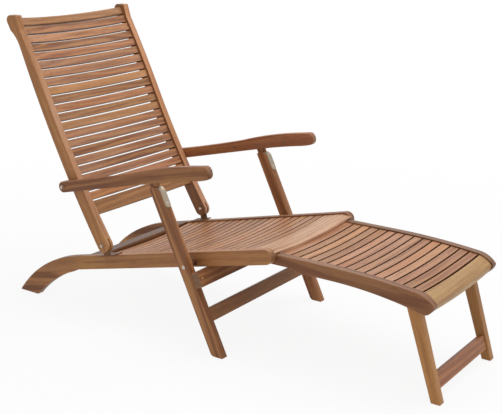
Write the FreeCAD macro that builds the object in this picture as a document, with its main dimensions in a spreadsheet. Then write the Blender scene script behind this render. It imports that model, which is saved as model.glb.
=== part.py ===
import FreeCAD, Part
import math
import os
import Sketcher

# Steamer deck chair. X runs from the head to the feet, Y to the sitter's left, Z up.
# The origin lies on the ground, under the middle of the chair. Millimetres and degrees.

V = FreeCAD.Vector

SIZES = (
    ("overall_width", 580.0, "over the arms"),
    ("stock", 25.0, "thickness of every frame board"),
    ("arm_plane_gap", 2.5, "between an arm and the stile beside it"),
    ("stile_plane_gap", 0.5, "between a stile and the seat rail beside it"),
    ("footrest_plane_gap", 1.0, "between a seat rail and the footrest rail beside it"),
    ("footleg_plane_gap", 1.0, "between a footrest rail and the leg beside it"),
    ("arris_radius", 2.0, "rounded edge of the boards"),
    ("slat_arris", 1.0, "rounded edge of the slats"),
    ("tenon_depth", 8.0, "how far a cross piece enters a board"),
    ("rest_gap", 0.3, "between parts that move past each other"),
    ("pin_clearance", 0.05, "radial clearance of a running pin"),
    ("slat_gap", 5.0, "open space between slats"),
    ("slat_thickness", 13.0, "slats"),
    ("seat_angle", 13.1, "fall of the seat towards the back"),
    ("seat_rail_depth", 45.0, "seat rail, square to its length"),
    ("seat_nose_x", 236.0, "centre of the seat rail's round nose"),
    ("seat_nose_height", 322.0, "centre of the seat rail's round nose"),
    ("rear_sweep_radius", 443.0, "top of the rear foot"),
    ("rear_tip_x", -770.0, "rear end of the chair on the ground"),
    ("rear_foot_length", 82.0, "flat of the rear foot"),
    ("rear_arch_x", -607.0, "arch under the rear foot"),
    ("rear_arch_height", 70.0, "arch under the rear foot"),
    ("rail_end_thickness", 6.0, "blunt rear end of the rail on the block"),
    ("foot_block_front_x", -521.0, "front end of the block under the rail"),
    ("foot_block_step", 6.0, "how far that end stands below the rail"),
    ("seat_slat_pitch", 30.0, "slat to slat along the seat"),
    ("seat_slat_count", 19.0, "slats of the seat"),
    ("seat_slat_drop", 5.0, "slats below the rails' top edge"),
    ("seat_dish", 9.0, "hollow of the seat at its middle"),
    ("seat_nose_rail_width", 94.0, "front cross rail of the seat"),
    ("seat_nose_reach", 22.0, "front cross rail past the nose's centre"),
    ("seat_nose_roll", 9.0, "how far its front edge rolls down"),
    ("rear_cross_rail_width", 62.0, "cross rail behind the slats"),
    ("rear_cross_rail_thickness", 20.0, "cross rail behind the slats"),
    ("back_pivot_x", -358.0, "hinge of the back"),
    ("back_pivot_height", 245.0, "hinge of the back"),
    ("stile_end_radius", 23.0, "round lower end of a stile"),
    ("stile_foot_lean", 31.5, "lean of a stile at its lower end"),
    ("back_height", 934.0, "top of the stiles"),
    ("back_slat_width", 24.5, "slats of the back"),
    ("back_slat_count", 20.0, "slats of the back"),
    ("back_slat_setback", 8.0, "slats behind the stiles' front edge"),
    ("back_dish_top", 20.0, "hollow of the back at its top"),
    ("back_dish_bottom", 7.0, "hollow of the back at its bottom"),
    ("back_bottom_rail_station", 97.5, "bottom rail along the stile's front edge"),
    ("back_bottom_rail_width", 45.0, "bottom rail of the back"),
    ("back_top_rail_width", 27.0, "top rail of the back"),
    ("back_top_margin", 1.3, "stile above the top rail"),
    ("back_rail_thickness", 18.0, "top and bottom rail of the back"),
    ("arm_pivot_x", -493.0, "hinge of the arms"),
    ("arm_pivot_height", 419.0, "hinge of the arms"),
    ("arm_end_radius", 17.5, "round rear end of an arm"),
    ("arm_rise", 14.0, "slope of an arm's rear end"),
    ("arm_groove_width", 11.0, "groove under an arm"),
    ("arm_groove_depth", 25.0, "groove under an arm"),
    ("arm_groove_rear_x", -252.0, "groove under an arm"),
    ("arm_groove_front_x", 4.0, "groove under an arm"),
    ("recline_pitch", 98.0, "cross pin to cross pin"),
    ("recline_pin_radius", 4.0, "cross pins in an arm"),
    ("recline_pin_cover", 5.0, "wood left outside a cross pin"),
    ("leg_pivot_x", -14.0, "hinge of the front legs"),
    ("leg_pivot_height", 254.0, "hinge of the front legs"),
    ("leg_lean", 25.7, "lean of the front legs"),
    ("leg_width", 37.0, "front leg, square to its length"),
    ("leg_shoulder", 251.0, "pivot to the shoulder under the arm"),
    ("leg_shoulder_radius", 25.0, "rounded front of the shoulder"),
    ("leg_pin_reach", 275.5, "pivot to the pin that the leg carries"),
    ("leg_pin_offset", 2.0, "that pin in front of the leg's middle"),
    ("leg_tongue_cheek", 10.0, "narrowed top of a leg in front of its pin"),
    ("leg_tongue_clearance", 0.8, "between the tongue and each side of the groove"),
    ("leg_foot_radius", 14.0, "rounded rear corner of a leg's foot"),
    ("stop_bar_thickness", 27.0, "bar across the legs"),
    ("stop_bar_width", 48.0, "bar across the legs"),
    ("stretcher_width", 40.0, "lower stretcher of the front legs"),
    ("stretcher_thickness", 25.0, "lower stretcher of the front legs"),
    ("tenon_shoulder", 5.0, "tenon of a stretcher or cross rail inside its section"),
    ("stretcher_reach", 138.0, "pivot down to the stretcher's upper edge"),
    ("strap_thickness", 2.0, "metal strap over a leg's shoulder"),
    ("strap_reach", 46.0, "strap down the front of a leg"),
    ("strap_width", 22.0, "metal strap"),
    ("strap_corner", 8.0, "rounded lower corners of the strap"),
    ("footrest_pivot_x", 240.0, "hinge of the footrest"),
    ("footrest_pivot_height", 312.0, "hinge of the footrest"),
    ("footrest_end_radius", 15.5, "round rear end of a footrest rail"),
    ("footrest_flat_x", 433.0, "end of the straight stretch of a footrest rail"),
    ("footrest_bend_x", 693.0, "end of the gentle curve of a footrest rail"),
    ("footrest_bend_drop", 15.5, "fall of the gentle curve"),
    ("footrest_nose_x", 743.0, "front end of a footrest rail"),
    ("footrest_nose_height", 283.0, "front end of a footrest rail"),
    ("footrest_mid_depth", 39.5, "footrest rail along its straight stretch"),
    ("footrest_front_height", 255.0, "lowest point of a footrest rail"),
    ("footrest_slat_pitch", 29.6, "slat to slat along the footrest"),
    ("footrest_slat_count", 14.0, "full slats of the footrest"),
    ("footrest_first_gap_x", 283.5, "gap behind the first full slat"),
    ("footrest_narrow_slat", 16.0, "width of the narrow rear slat"),
    ("footrest_slat_drop", 4.5, "slats below the rails' top edge"),
    ("footrest_dish", 6.5, "hollow of the footrest at its middle"),
    ("footleg_pivot_x", 666.0, "hinge of the footrest legs"),
    ("footleg_pivot_height", 278.0, "hinge of the footrest legs"),
    ("footleg_width", 35.0, "footrest leg at its top"),
    ("footleg_foot_length", 28.5, "level foot of a footrest leg"),
    ("footleg_toe_x", 768.8, "front end of the chair on the ground"),
    ("footleg_stop_gap", 0.8, "footrest leg to the nose rail that stops it"),
    ("footleg_stretcher_width", 42.0, "stretcher of the footrest legs"),
    ("footleg_stretcher_thickness", 20.0, "stretcher of the footrest legs"),
    ("footleg_stretcher_reach", 215.0, "pivot down to its upper edge"),
    ("footleg_stretcher_setback", 7.0, "stretcher behind the legs' front at the top"),
    ("bolt_radius", 3.0, "hinge bolts"),
    ("bolt_head_radius", 6.5, "hinge bolts"),
    ("bolt_head_height", 3.0, "hinge bolts"),
    ("blind_cover", 5.0, "wood left at the end of a bolt that doesn't pass through"),
    ("washer_radius", 6.5, "washers"),
    ("washer_thickness", 1.2, "washers"),
    ("nut_flats", 10.0, "cap nuts, across the flats"),
    ("nut_height", 4.5, "cap nuts, without the dome"),
    ("nut_dome", 4.0, "dome of a cap nut"),
    ("spacer_radius", 9.0, "spacer on a leg's pivot bolt"),
    ("bracket_thickness", 3.0, "base of the back's hinge, on the seat rail"),
    ("bracket_length", 60.0, "base of the back's hinge, along the seat rail"),
    ("bracket_inset", 9.0, "screws from the ends of that base"),
    ("tongue_thickness", 4.0, "upright tongue of the back's hinge"),
    ("tongue_radius", 13.0, "round top of that tongue"),
    ("arm_plate_thickness", 2.0, "hinge plate of an arm"),
    ("arm_plate_radius", 13.0, "round end of that plate"),
    ("arm_plate_length", 45.0, "hinge plate, from the arm's pivot forward"),
    ("screw_radius", 2.0, "wood screws"),
    ("screw_head_radius", 3.8, "wood screws"),
    ("screw_head_height", 2.2, "wood screws"),
    ("screw_length", 20.0, "wood screws"),
    ("bar_screw_length", 45.0, "screws of the stop bar"),
)

doc = FreeCAD.newDocument("steamer_deck_chair")
sheet = doc.addObject("Spreadsheet::Sheet", "Sizes")
for row, (alias, value, note) in enumerate(SIZES, start=1):
    sheet.set("A%d" % row, alias)
    sheet.set("B%d" % row, str(value))
    sheet.set("C%d" % row, note)
    sheet.setAlias("B%d" % row, alias)
doc.recompute()


def size(alias):
    """One driving dimension, as the sheet holds it."""
    return float(sheet.get(alias))


# Middle planes of the boards on the left, as expressions and as numbers

ARM_PLANE = "(Sizes.overall_width - Sizes.stock) / 2"
STILE_PLANE = ARM_PLANE + " - Sizes.stock - Sizes.arm_plane_gap"
RAIL_PLANE = STILE_PLANE + " - Sizes.stock - Sizes.stile_plane_gap"
FOOTRAIL_PLANE = RAIL_PLANE + " - Sizes.stock - Sizes.footrest_plane_gap"
FOOTLEG_PLANE = FOOTRAIL_PLANE + " - Sizes.stock - Sizes.footleg_plane_gap"

HALF_STOCK = size("stock") / 2
ARM_Y = size("overall_width") / 2 - HALF_STOCK
STILE_Y = ARM_Y - size("stock") - size("arm_plane_gap")
RAIL_Y = STILE_Y - size("stock") - size("stile_plane_gap")
FOOTRAIL_Y = RAIL_Y - size("stock") - size("footrest_plane_gap")
FOOTLEG_Y = FOOTRAIL_Y - size("stock") - size("footleg_plane_gap")

GAP = size("rest_gap")
BOLT = size("bolt_radius")
RUNNING = "Sizes.bolt_radius + Sizes.pin_clearance"

nodes = []


def keep(shape_object, label):
    """Name an object as one node of the chair."""
    shape_object.Label = label
    nodes.append(shape_object)
    return shape_object


# Plane geometry, in points whose x is the chair's X and whose y is its Z


def along(angle):
    """Unit vector at an angle above the X axis."""
    return V(math.cos(math.radians(angle)), math.sin(math.radians(angle)), 0)


def left_of(direction):
    """The direction turned a quarter turn to the left."""
    return V(-direction.y, direction.x, 0)


def rounded_polygon(corners):
    """Straight sides and tangent arcs through (point, radius) corners."""
    starts = []
    ends = []
    arcs = []
    count = len(corners)
    for index, (corner, radius) in enumerate(corners):
        before = (corners[index - 1][0] - corner).normalize()
        after = (corners[(index + 1) % count][0] - corner).normalize()
        if radius <= 0:
            starts.append(corner)
            ends.append(corner)
            arcs.append(None)
            continue
        half = before.getAngle(after) / 2
        setback = radius / math.tan(half)
        start = corner + before * setback
        end = corner + after * setback
        bisector = (before + after).normalize()
        centre = corner + bisector * (radius / math.sin(half))
        starts.append(start)
        ends.append(end)
        arcs.append(Part.Arc(start, centre - bisector * radius, end))
    outline = []
    for index in range(count):
        if arcs[index]:
            outline.append(arcs[index])
        following = (index + 1) % count
        if (starts[following] - ends[index]).Length > 1e-6:
            outline.append(Part.LineSegment(ends[index], starts[following]))
    return outline


def circle_cuts_line(centre, radius, point, direction):
    """The two places where a line meets a circle, the one behind first."""
    offset = point - centre
    half = offset.dot(direction)
    root = math.sqrt(half * half - offset.dot(offset) + radius * radius)
    return point + direction * (-half - root), point + direction * (root - half)


class Track:
    """A run of edges, read by the distance along them."""

    def __init__(self, curves):
        self.edges = [curve.toShape() for curve in curves]

    def at(self, distance):
        """The point at a distance, and the direction there."""
        for edge in self.edges:
            if distance <= edge.Length or edge is self.edges[-1]:
                break
            distance -= edge.Length
        place = edge.getParameterByLength(distance)
        return edge.valueAt(place), edge.tangentAt(place)

    @property
    def length(self):
        return sum(edge.Length for edge in self.edges)


# Ways to make a piece


def origin_plane(body, role):
    """One of a body's own origin planes."""
    return [plane for plane in body.Origin.OriginFeatures if plane.Role == role][0]


def sketch_on(body, role, name, outline):
    """A sketch with its ends joined, on one of the body's planes."""
    sketch = body.newObject("Sketcher::SketchObject", name)
    sketch.AttachmentSupport = [(origin_plane(body, role), "")]
    sketch.MapMode = "FlatFace"
    first = None
    for curve in outline:
        index = sketch.addGeometry(curve, False)
        first = index if first is None else first
    join_ends(sketch, first, len(outline))
    return sketch


def join_ends(sketch, first, count):
    """Tie each curve's end to the next curve's start."""
    for step in range(count):
        one = first + step
        two = first + (step + 1) % count
        for end in (1, 2):
            for start in (1, 2):
                apart = (sketch.getPoint(one, end) - sketch.getPoint(two, start)).Length
                if apart < 1e-5 and one != two:
                    sketch.addConstraint(Sketcher.Constraint("Coincident", one, end, two, start))


def hole_sketch(body, holes):
    """Circles seen from the side, each with its radius bound to the sheet."""
    sketch = body.newObject("Sketcher::SketchObject", body.Name + "_holes")
    sketch.AttachmentSupport = [(origin_plane(body, "XZ_Plane"), "")]
    sketch.MapMode = "FlatFace"
    for centre, radius in holes:
        index = sketch.addGeometry(Part.Circle(centre, V(0, 0, 1), BOLT), False)
        rule = sketch.addConstraint(Sketcher.Constraint("Radius", index, BOLT))
        sketch.setExpression("Constraints[%d]" % rule, radius)
    return sketch


def board(name, outline, thickness="Sizes.stock", arris="Sizes.arris_radius", holes=()):
    """A board cut to an outline seen from the side, its edges rounded, then drilled."""
    body = doc.addObject("PartDesign::Body", name)
    pad = body.newObject("PartDesign::Pad", name + "_pad")
    pad.Profile = sketch_on(body, "XZ_Plane", name + "_outline", outline)
    pad.Midplane = True
    pad.setExpression("Length", thickness)
    doc.recompute()
    if arris:
        rounding = body.newObject("PartDesign::Fillet", name + "_arris")
        rounding.Base = (pad, [])
        rounding.UseAllEdges = True
        rounding.setExpression("Radius", arris)
    if holes:
        pocket = body.newObject("PartDesign::Pocket", name + "_bores")
        pocket.Profile = hole_sketch(body, holes)
        pocket.Type = "ThroughAll"
        pocket.Midplane = True
    return body


def stand_at(piece, plane):
    """Set a piece on the left at a middle plane."""
    piece.setExpression("Placement.Base.y", plane)
    return piece


def turned(name, profile, centre):
    """A piece turned about a line along Y, from (y, radius) points, at a pivot."""
    body = doc.addObject("PartDesign::Body", name)
    points = [V(y, radius, 0) for y, radius in profile]
    outline = rounded_polygon([(point, 0) for point in points])
    turning = body.newObject("PartDesign::Revolution", name + "_turning")
    sketch = sketch_on(body, "YZ_Plane", name + "_profile", outline)
    turning.Profile = sketch
    turning.ReferenceAxis = (sketch, ["H_Axis"])
    turning.Angle = 360
    body.Placement.Base = V(centre.x, 0, centre.y)
    return body


def mirrored(piece, name):
    """The same piece on the chair's other side."""
    other = doc.addObject("Part::Mirroring", name)
    other.Source = piece
    other.Normal = V(0, 1, 0)
    return other


def pair(piece, label):
    """A piece and its mirror image, as one node of two solids."""
    group = doc.addObject("Part::Compound", label)
    group.Links = [piece, mirrored(piece, piece.Name + "_mirror")]
    return keep(group, label)


def left_and_right(piece, label):
    """A piece and its mirror image, as two nodes."""
    keep(piece, label + "_left")
    keep(mirrored(piece, label + "_mirror"), label + "_right")
    return piece


def grouped(pieces, name):
    """Several pieces as one object of separate solids."""
    group = doc.addObject("Part::Compound", name)
    group.Links = pieces
    return group


def cut(base, tools, name):
    """A piece with other pieces' shapes taken out of it."""
    for index, tool in enumerate(tools):
        result = doc.addObject("Part::Cut", "%s_cut%d" % (name, index))
        result.Base = base
        result.Tool = tool
        base = result
    return base


def dished(name, half, width, thickness, dish, place, normal, arris="Sizes.slat_arris"):
    """A cross piece hollowed along its length, with both ends let into the boards."""
    end = half + size("tenon_depth")
    depth = size(thickness)
    radius = (half * half + dish * dish) / (2 * dish)
    centre = radius - dish
    top_end = centre - math.sqrt(radius**2 - end**2)
    low_end = centre - math.sqrt((radius + depth) ** 2 - end**2)
    outline = (
        Part.Arc(V(-end, top_end, 0), V(0, -dish, 0), V(end, top_end, 0)),
        Part.LineSegment(V(end, top_end, 0), V(end, low_end, 0)),
        Part.Arc(V(end, low_end, 0), V(0, -dish - depth, 0), V(-end, low_end, 0)),
        Part.LineSegment(V(-end, low_end, 0), V(-end, top_end, 0)),
    )
    body = doc.addObject("PartDesign::Body", name)
    pad = body.newObject("PartDesign::Pad", name + "_pad")
    pad.Profile = sketch_on(body, "YZ_Plane", name + "_outline", outline)
    pad.Midplane = True
    pad.setExpression("Length", width)
    rounding = body.newObject("PartDesign::Fillet", name + "_arris")
    rounding.Base = (pad, [])
    rounding.UseAllEdges = True
    rounding.setExpression("Radius", arris)
    tilt = math.degrees(math.atan2(normal.x, normal.y))
    body.Placement = FreeCAD.Placement(V(place.x, 0, place.y), FreeCAD.Rotation(V(0, 1, 0), tilt))
    return body


def dome_flank(start, way, wide, high):
    """A point midway on a dome: its foot is wide and stands at start, its top is high."""
    radius = (wide * wide + high * high) / (2 * high)
    half_turn = math.asin(wide / radius) / 2
    return V(start + way * (high - radius + radius * math.cos(half_turn)), radius * math.sin(half_turn), 0)


def cap_nut(name, start, centre, outwards):
    """A hexagon nut with a dome, standing on a washer."""
    body = doc.addObject("PartDesign::Body", name)
    flats = size("nut_flats")
    corner = flats / math.sqrt(3)
    hexagon = [(along(60 * step) * corner, 0) for step in range(6)]
    sketch = sketch_on(body, "XZ_Plane", name + "_hexagon", rounded_polygon(hexagon))
    pad = body.newObject("PartDesign::Pad", name + "_pad")
    pad.Profile = sketch
    pad.Reversed = outwards
    pad.setExpression("Length", "Sizes.nut_height")
    doc.recompute()
    way = 1 if outwards else -1
    height = size("nut_height")
    tall = height + size("nut_dome")
    wide = flats / 2 - 0.6
    dome = (
        Part.LineSegment(V(0, 0, 0), V(0, wide, 0)),
        Part.LineSegment(V(0, wide, 0), V(way * height, wide, 0)),
        Part.Arc(
            V(way * height, wide, 0),
            dome_flank(way * height, way, wide, size("nut_dome")),
            V(way * tall, 0, 0),
        ),
        Part.LineSegment(V(way * tall, 0, 0), V(0, 0, 0)),
    )
    turning = body.newObject("PartDesign::Revolution", name + "_dome")
    profile = sketch_on(body, "YZ_Plane", name + "_profile", dome)
    turning.Profile = profile
    turning.ReferenceAxis = (profile, ["H_Axis"])
    turning.Angle = 360
    body.Placement.Base = V(centre.x, start, centre.y)
    return body


def washer(name, start, centre):
    """A flat washer from start outwards along Y."""
    end = start + size("washer_thickness")
    wide = size("washer_radius")
    return turned(name, ((start, BOLT), (start, wide), (end, wide), (end, BOLT)), centre)


def screw(name, place, direction, length="screw_length"):
    """A countersunk wood screw: place is the middle of its head, direction its point's way."""
    head = size("screw_head_radius")
    sink = size("screw_head_height")
    shank = size("screw_radius")
    reach = size(length)
    profile = [(0, 0), (0, head), (sink, shank), (reach - 2 * shank, shank), (reach, 0)]
    body = turned(name, profile, V(0, 0, 0))
    body.Placement = FreeCAD.Placement(place, FreeCAD.Rotation(V(0, 1, 0), direction))
    return body


# Pivots, seen from the side

back_pivot = V(size("back_pivot_x"), size("back_pivot_height"), 0)
arm_pivot = V(size("arm_pivot_x"), size("arm_pivot_height"), 0)
leg_pivot = V(size("leg_pivot_x"), size("leg_pivot_height"), 0)
footrest_pivot = V(size("footrest_pivot_x"), size("footrest_pivot_height"), 0)
footleg_pivot = V(size("footleg_pivot_x"), size("footleg_pivot_height"), 0)

# Seat rails: a straight top from the round nose, then a sweep down to the rear foot

seat_way = along(size("seat_angle"))
seat_up = left_of(seat_way)
rail_depth = size("seat_rail_depth")
nose_radius = rail_depth / 2
nose_centre = V(size("seat_nose_x"), size("seat_nose_height"), 0)
seat_top = nose_centre + seat_up * nose_radius
RAIL_HALF = RAIL_Y - HALF_STOCK


def seat_point(station, rise):
    """A point of the seat: station from the nose's centre to the front, rise above the rails."""
    return seat_top + seat_way * station + seat_up * rise


def station_at(x):
    """The station of a point of the rails' top edge."""
    return (x - seat_top.x) / seat_way.x


def sweep_centre():
    """Centre of the rear sweep: a radius below the top edge, and a radius from the tip."""
    radius = size("rear_sweep_radius")
    tip = V(size("rear_tip_x"), 0, 0)
    return circle_cuts_line(tip, radius, seat_point(0, -radius), seat_way)[1]


def seat_rail_outline():
    """The seat rail and the block under its rear end, in one outline."""
    radius = size("rear_sweep_radius")
    centre = sweep_centre()
    top_rear = centre + seat_up * radius
    tip = V(size("rear_tip_x"), 0, 0)
    middle = centre + ((top_rear - centre) + (tip - centre)).normalize() * radius
    toe = V(size("rear_tip_x") + size("rear_foot_length"), 0, 0)
    arch = V(size("rear_arch_x"), size("rear_arch_height"), 0)
    block = station_at(size("foot_block_front_x"))
    step = size("foot_block_step")
    heel = seat_point(block - step, -rail_depth - step)
    joint = seat_point(block, -rail_depth)
    return [
        Part.Arc(seat_point(0, 0), nose_centre + seat_way * nose_radius, seat_point(0, -rail_depth)),
        Part.LineSegment(seat_point(0, -rail_depth), joint),
        Part.LineSegment(joint, heel),
        Part.Arc(heel, arch, toe),
        Part.LineSegment(toe, tip),
        Part.Arc(tip, middle, top_rear),
        Part.LineSegment(top_rear, seat_point(0, 0)),
    ]


seat_rail_blank = stand_at(board("seat_rail_blank", seat_rail_outline()), RAIL_PLANE)

sweep = size("rear_sweep_radius")
fall = rail_depth - size("rail_end_thickness")
end_angle = size("seat_angle") + math.degrees(math.acos(1 - fall / sweep))
rail_end = sweep_centre() + left_of(along(end_angle)) * (sweep + size("rail_end_thickness"))


def block_behind(name, front, angle, depth):
    """A block across the chair: front is the front end of its top, which slopes by angle."""
    box = doc.addObject("Part::Box", name)
    corner = front - along(angle) * sweep - left_of(along(angle)) * depth
    box.setExpression("Width", "Sizes.overall_width")
    box.setExpression("Length", "Sizes.rear_sweep_radius")
    box.Height = depth
    box.Placement = FreeCAD.Placement(
        V(corner.x, 0, corner.y), FreeCAD.Rotation(V(0, 1, 0), -angle)
    )
    return box


block_front = seat_point(station_at(size("foot_block_front_x")), -rail_depth)
below_rail = doc.addObject("Part::Fuse", "below_rail")
below_rail.Base = block_behind("under_the_rail", block_front, size("seat_angle"), sweep)
below_rail.Tool = block_behind("behind_the_rail", rail_end, end_angle, rail_depth)

foot_block = doc.addObject("Part::Common", "foot_block")
foot_block.Base = seat_rail_blank
foot_block.Tool = below_rail
left_and_right(foot_block, "rear_foot_block")

# Cross pieces of the seat

seat_slats = []
nose_rear = size("seat_nose_reach") - size("seat_nose_rail_width")
for index in range(int(size("seat_slat_count"))):
    front = nose_rear - size("slat_gap") - index * size("seat_slat_pitch")
    width = size("seat_slat_pitch") - size("slat_gap")
    place = seat_point(front - width / 2, -size("seat_slat_drop"))
    seat_slats.append(
        dished(
            "seat_slat_%02d" % (index + 1),
            RAIL_HALF,
            "Sizes.seat_slat_pitch - Sizes.slat_gap",
            "slat_thickness",
            size("seat_dish"),
            place,
            seat_up,
        )
    )
seat_slat_group = keep(grouped(seat_slats, "seat_slats"), "seat_slats")

rear_rail_front = nose_rear - size("slat_gap") - size("seat_slat_count") * size("seat_slat_pitch")
rear_rail_corners = [
    (seat_point(rear_rail_front, 0), 4),
    (seat_point(rear_rail_front, -size("rear_cross_rail_thickness")), 4),
    (seat_point(rear_rail_front - size("rear_cross_rail_width"), -size("rear_cross_rail_thickness")), 4),
    (seat_point(rear_rail_front - size("rear_cross_rail_width"), 0), 4),
]
BETWEEN_RAILS = "2 * (" + RAIL_PLANE + ") - Sizes.stock + 2 * Sizes.tenon_depth"
rear_cross_rail = board(
    "rear_cross_rail", rounded_polygon(rear_rail_corners), BETWEEN_RAILS, None
)
keep(rear_cross_rail, "rear_cross_rail")


def seat_nose_outline():
    """Section of the crowned front board: rolled down at the front, coved over the hinge."""
    top = -size("seat_slat_drop")
    low = top - size("slat_thickness")
    front = size("seat_nose_reach")
    roll = size("seat_nose_roll")
    bend = front - 32
    sag = size("seat_dish") * (1 - ((FOOTRAIL_Y - HALF_STOCK) / RAIL_HALF) ** 2)
    cove = size("footrest_end_radius") + sag + 2 * GAP
    crest = footrest_pivot + V(0, cove, 0)
    heel = circle_cuts_line(footrest_pivot, cove, seat_point(0, low), seat_way)[0]
    flank = footrest_pivot + ((crest - footrest_pivot) + (heel - footrest_pivot)).normalize() * cove
    brow = seat_point(front, top - roll)
    lip = V(brow.x + 0.5, crest.y, 0)
    return [
        Part.LineSegment(seat_point(nose_rear, top), seat_point(bend, top)),
        Part.Arc(seat_point(bend, top), seat_point((bend + front) / 2, top - roll * 0.28), brow),
        Part.Arc(brow, (brow + lip) / 2 + V(1.2, 0, 0), lip),
        Part.LineSegment(lip, crest),
        Part.Arc(crest, flank, heel),
        Part.LineSegment(heel, seat_point(nose_rear, low)),
        Part.LineSegment(seat_point(nose_rear, low), seat_point(nose_rear, top)),
    ]


def crowned(name, outline, half, dish, anchor, way, up):
    """A section swept round a large circle, so that the board is hollow along its length.

    The outline is the section where the board meets its rails.
    """
    body = doc.addObject("PartDesign::Body", name)
    radius = (half * half + dish * dish) / (2 * dish)
    hinge = anchor + up * (radius - dish)
    for curve in outline:
        curve.translate(up * -dish)
    sketch = sketch_on(body, "XZ_Plane", name + "_section", outline)
    axis = sketch.addGeometry(Part.LineSegment(hinge, hinge + way * 100), True)
    turning = body.newObject("PartDesign::Revolution", name + "_crown")
    turning.Profile = sketch
    turning.ReferenceAxis = (sketch, ["Axis0"])
    end = half + size("tenon_depth")
    turning.Angle = 2 * math.degrees(math.asin(end / radius))
    turning.Midplane = True
    return body


seat_nose_rail = crowned(
    "seat_nose_rail",
    seat_nose_outline(),
    RAIL_HALF,
    size("seat_dish"),
    seat_point(0, -size("seat_slat_drop") - size("slat_thickness")),
    seat_way,
    seat_up,
)
keep(seat_nose_rail, "seat_nose_rail")

# Back: bowed stiles with a flared top, hinged near the seat rails' rear

stile_up = along(90 + size("stile_foot_lean"))
stile_front = along(size("stile_foot_lean"))
end_radius = size("stile_end_radius")
STILE_HALF = STILE_Y - HALF_STOCK


def from_back_pivot(x, z):
    """A point of a stile, measured from the back's hinge."""
    return back_pivot + V(x, z, 0)


def bowed(start, end, bow):
    """An arc that swells by bow to the left of the way from start to end."""
    side = left_of((end - start).normalize())
    return Part.Arc(start, (start + end) / 2 + side * bow, end)


def corner_arc(before, corner, after, radius):
    """The tangent arc that rounds one corner, with its two ends."""
    one = (before - corner).normalize()
    two = (after - corner).normalize()
    half = one.getAngle(two) / 2
    start = corner + one * (radius / math.tan(half))
    end = corner + two * (radius / math.tan(half))
    bisector = (one + two).normalize()
    middle = corner + bisector * (radius / math.sin(half) - radius)
    return start, Part.Arc(start, middle, end), end


stile_low_front = back_pivot + stile_front * end_radius
stile_low_rear = back_pivot - stile_front * end_radius
stile_waist = from_back_pivot(-195, 395)
stile_rear_waist = from_back_pivot(-188, 291)
front_top = V(back_pivot.x - 335.5, size("back_height"), 0)
stile_neck = front_top + V(13.5, -43, 0)
rear_top = front_top + V(-53.5, 0, 0)
stile_flare = front_top + V(-27.5, -48, 0)
stile_rear_neck = front_top + V(12.5, -102, 0)
front_corner = corner_arc(stile_neck, front_top, rear_top, 4)
rear_corner = corner_arc(front_top, rear_top, stile_flare, 16)

stile_front_curves = [
    bowed(stile_low_front, stile_waist, 8.0),
    bowed(stile_waist, stile_neck, -2.1),
    Part.LineSegment(stile_neck, front_top),
]
stile_outline = [
    stile_front_curves[0],
    stile_front_curves[1],
    Part.LineSegment(stile_neck, front_corner[0]),
    front_corner[1],
    Part.LineSegment(front_corner[2], rear_corner[0]),
    rear_corner[1],
    Part.LineSegment(rear_corner[2], stile_flare),
    bowed(stile_flare, stile_rear_neck, 4.9),
    bowed(stile_rear_neck, stile_rear_waist, -3.2),
    bowed(stile_rear_waist, stile_low_rear, -4.1),
    Part.Arc(stile_low_rear, back_pivot - stile_up * end_radius, stile_low_front),
]
stile_blank = board("stile_blank", stile_outline, holes=[(back_pivot, RUNNING)])
stand_at(stile_blank, STILE_PLANE)

stile_line = Track(stile_front_curves)
bottom_station = size("back_bottom_rail_station")
first_slat_station = bottom_station + size("back_bottom_rail_width") + size("slat_gap")
top_rail_low = stile_line.length - size("back_top_rail_width") - size("back_top_margin")
back_slat_pitch = (top_rail_low - first_slat_station) / size("back_slat_count")
back_slat_half = size("back_slat_width") / 2


def back_piece(name, station, width, thickness, arris="Sizes.slat_arris", beyond=0.0):
    """A dished cross piece of the back, centred beyond a station of the stiles."""
    point, way = stile_line.at(station)
    normal = V(way.y, -way.x, 0)
    share = (station + beyond - bottom_station) / (top_rail_low - bottom_station)
    dish = size("back_dish_bottom") + share * (size("back_dish_top") - size("back_dish_bottom"))
    place = point + way * beyond - normal * size("back_slat_setback")
    return dished(name, STILE_HALF, width, thickness, dish, place, normal, arris)


back_bottom_rail = back_piece(
    "back_bottom_rail",
    bottom_station + size("back_bottom_rail_width") / 2,
    "Sizes.back_bottom_rail_width",
    "back_rail_thickness",
    "Sizes.arris_radius",
)
keep(back_bottom_rail, "back_bottom_rail")

back_slats = []
for index in range(int(size("back_slat_count"))):
    station = first_slat_station + back_slat_half + index * back_slat_pitch
    back_slats.append(
        back_piece(
            "back_slat_%02d" % (index + 1),
            station,
            "Sizes.back_slat_width",
            "slat_thickness",
        )
    )
last_slat_station = station
back_top_rail = back_piece(
    "back_top_rail",
    last_slat_station,
    "Sizes.back_top_rail_width",
    "back_rail_thickness",
    "2 * Sizes.arris_radius",
    back_slat_pitch - back_slat_half + size("back_top_rail_width") / 2,
)
keep(back_top_rail, "back_top_rail")
back_slat_group = keep(grouped(back_slats, "back_slats"), "back_slats")

# Hardware of the back's hinge: a tongue on the rail enters a fork in the stile's end

bracket_station = (back_pivot - seat_top).dot(seat_way)
bracket_rise = (back_pivot - seat_top).dot(seat_up)
half_bracket = size("bracket_length") / 2
tongue_end = size("tongue_radius")
steel = size("bracket_thickness")


def bracket_point(forward, rise):
    """A point of the back's hinge: forward of its pivot along the rail, rise above the rail."""
    return seat_point(bracket_station + forward, rise)


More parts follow.
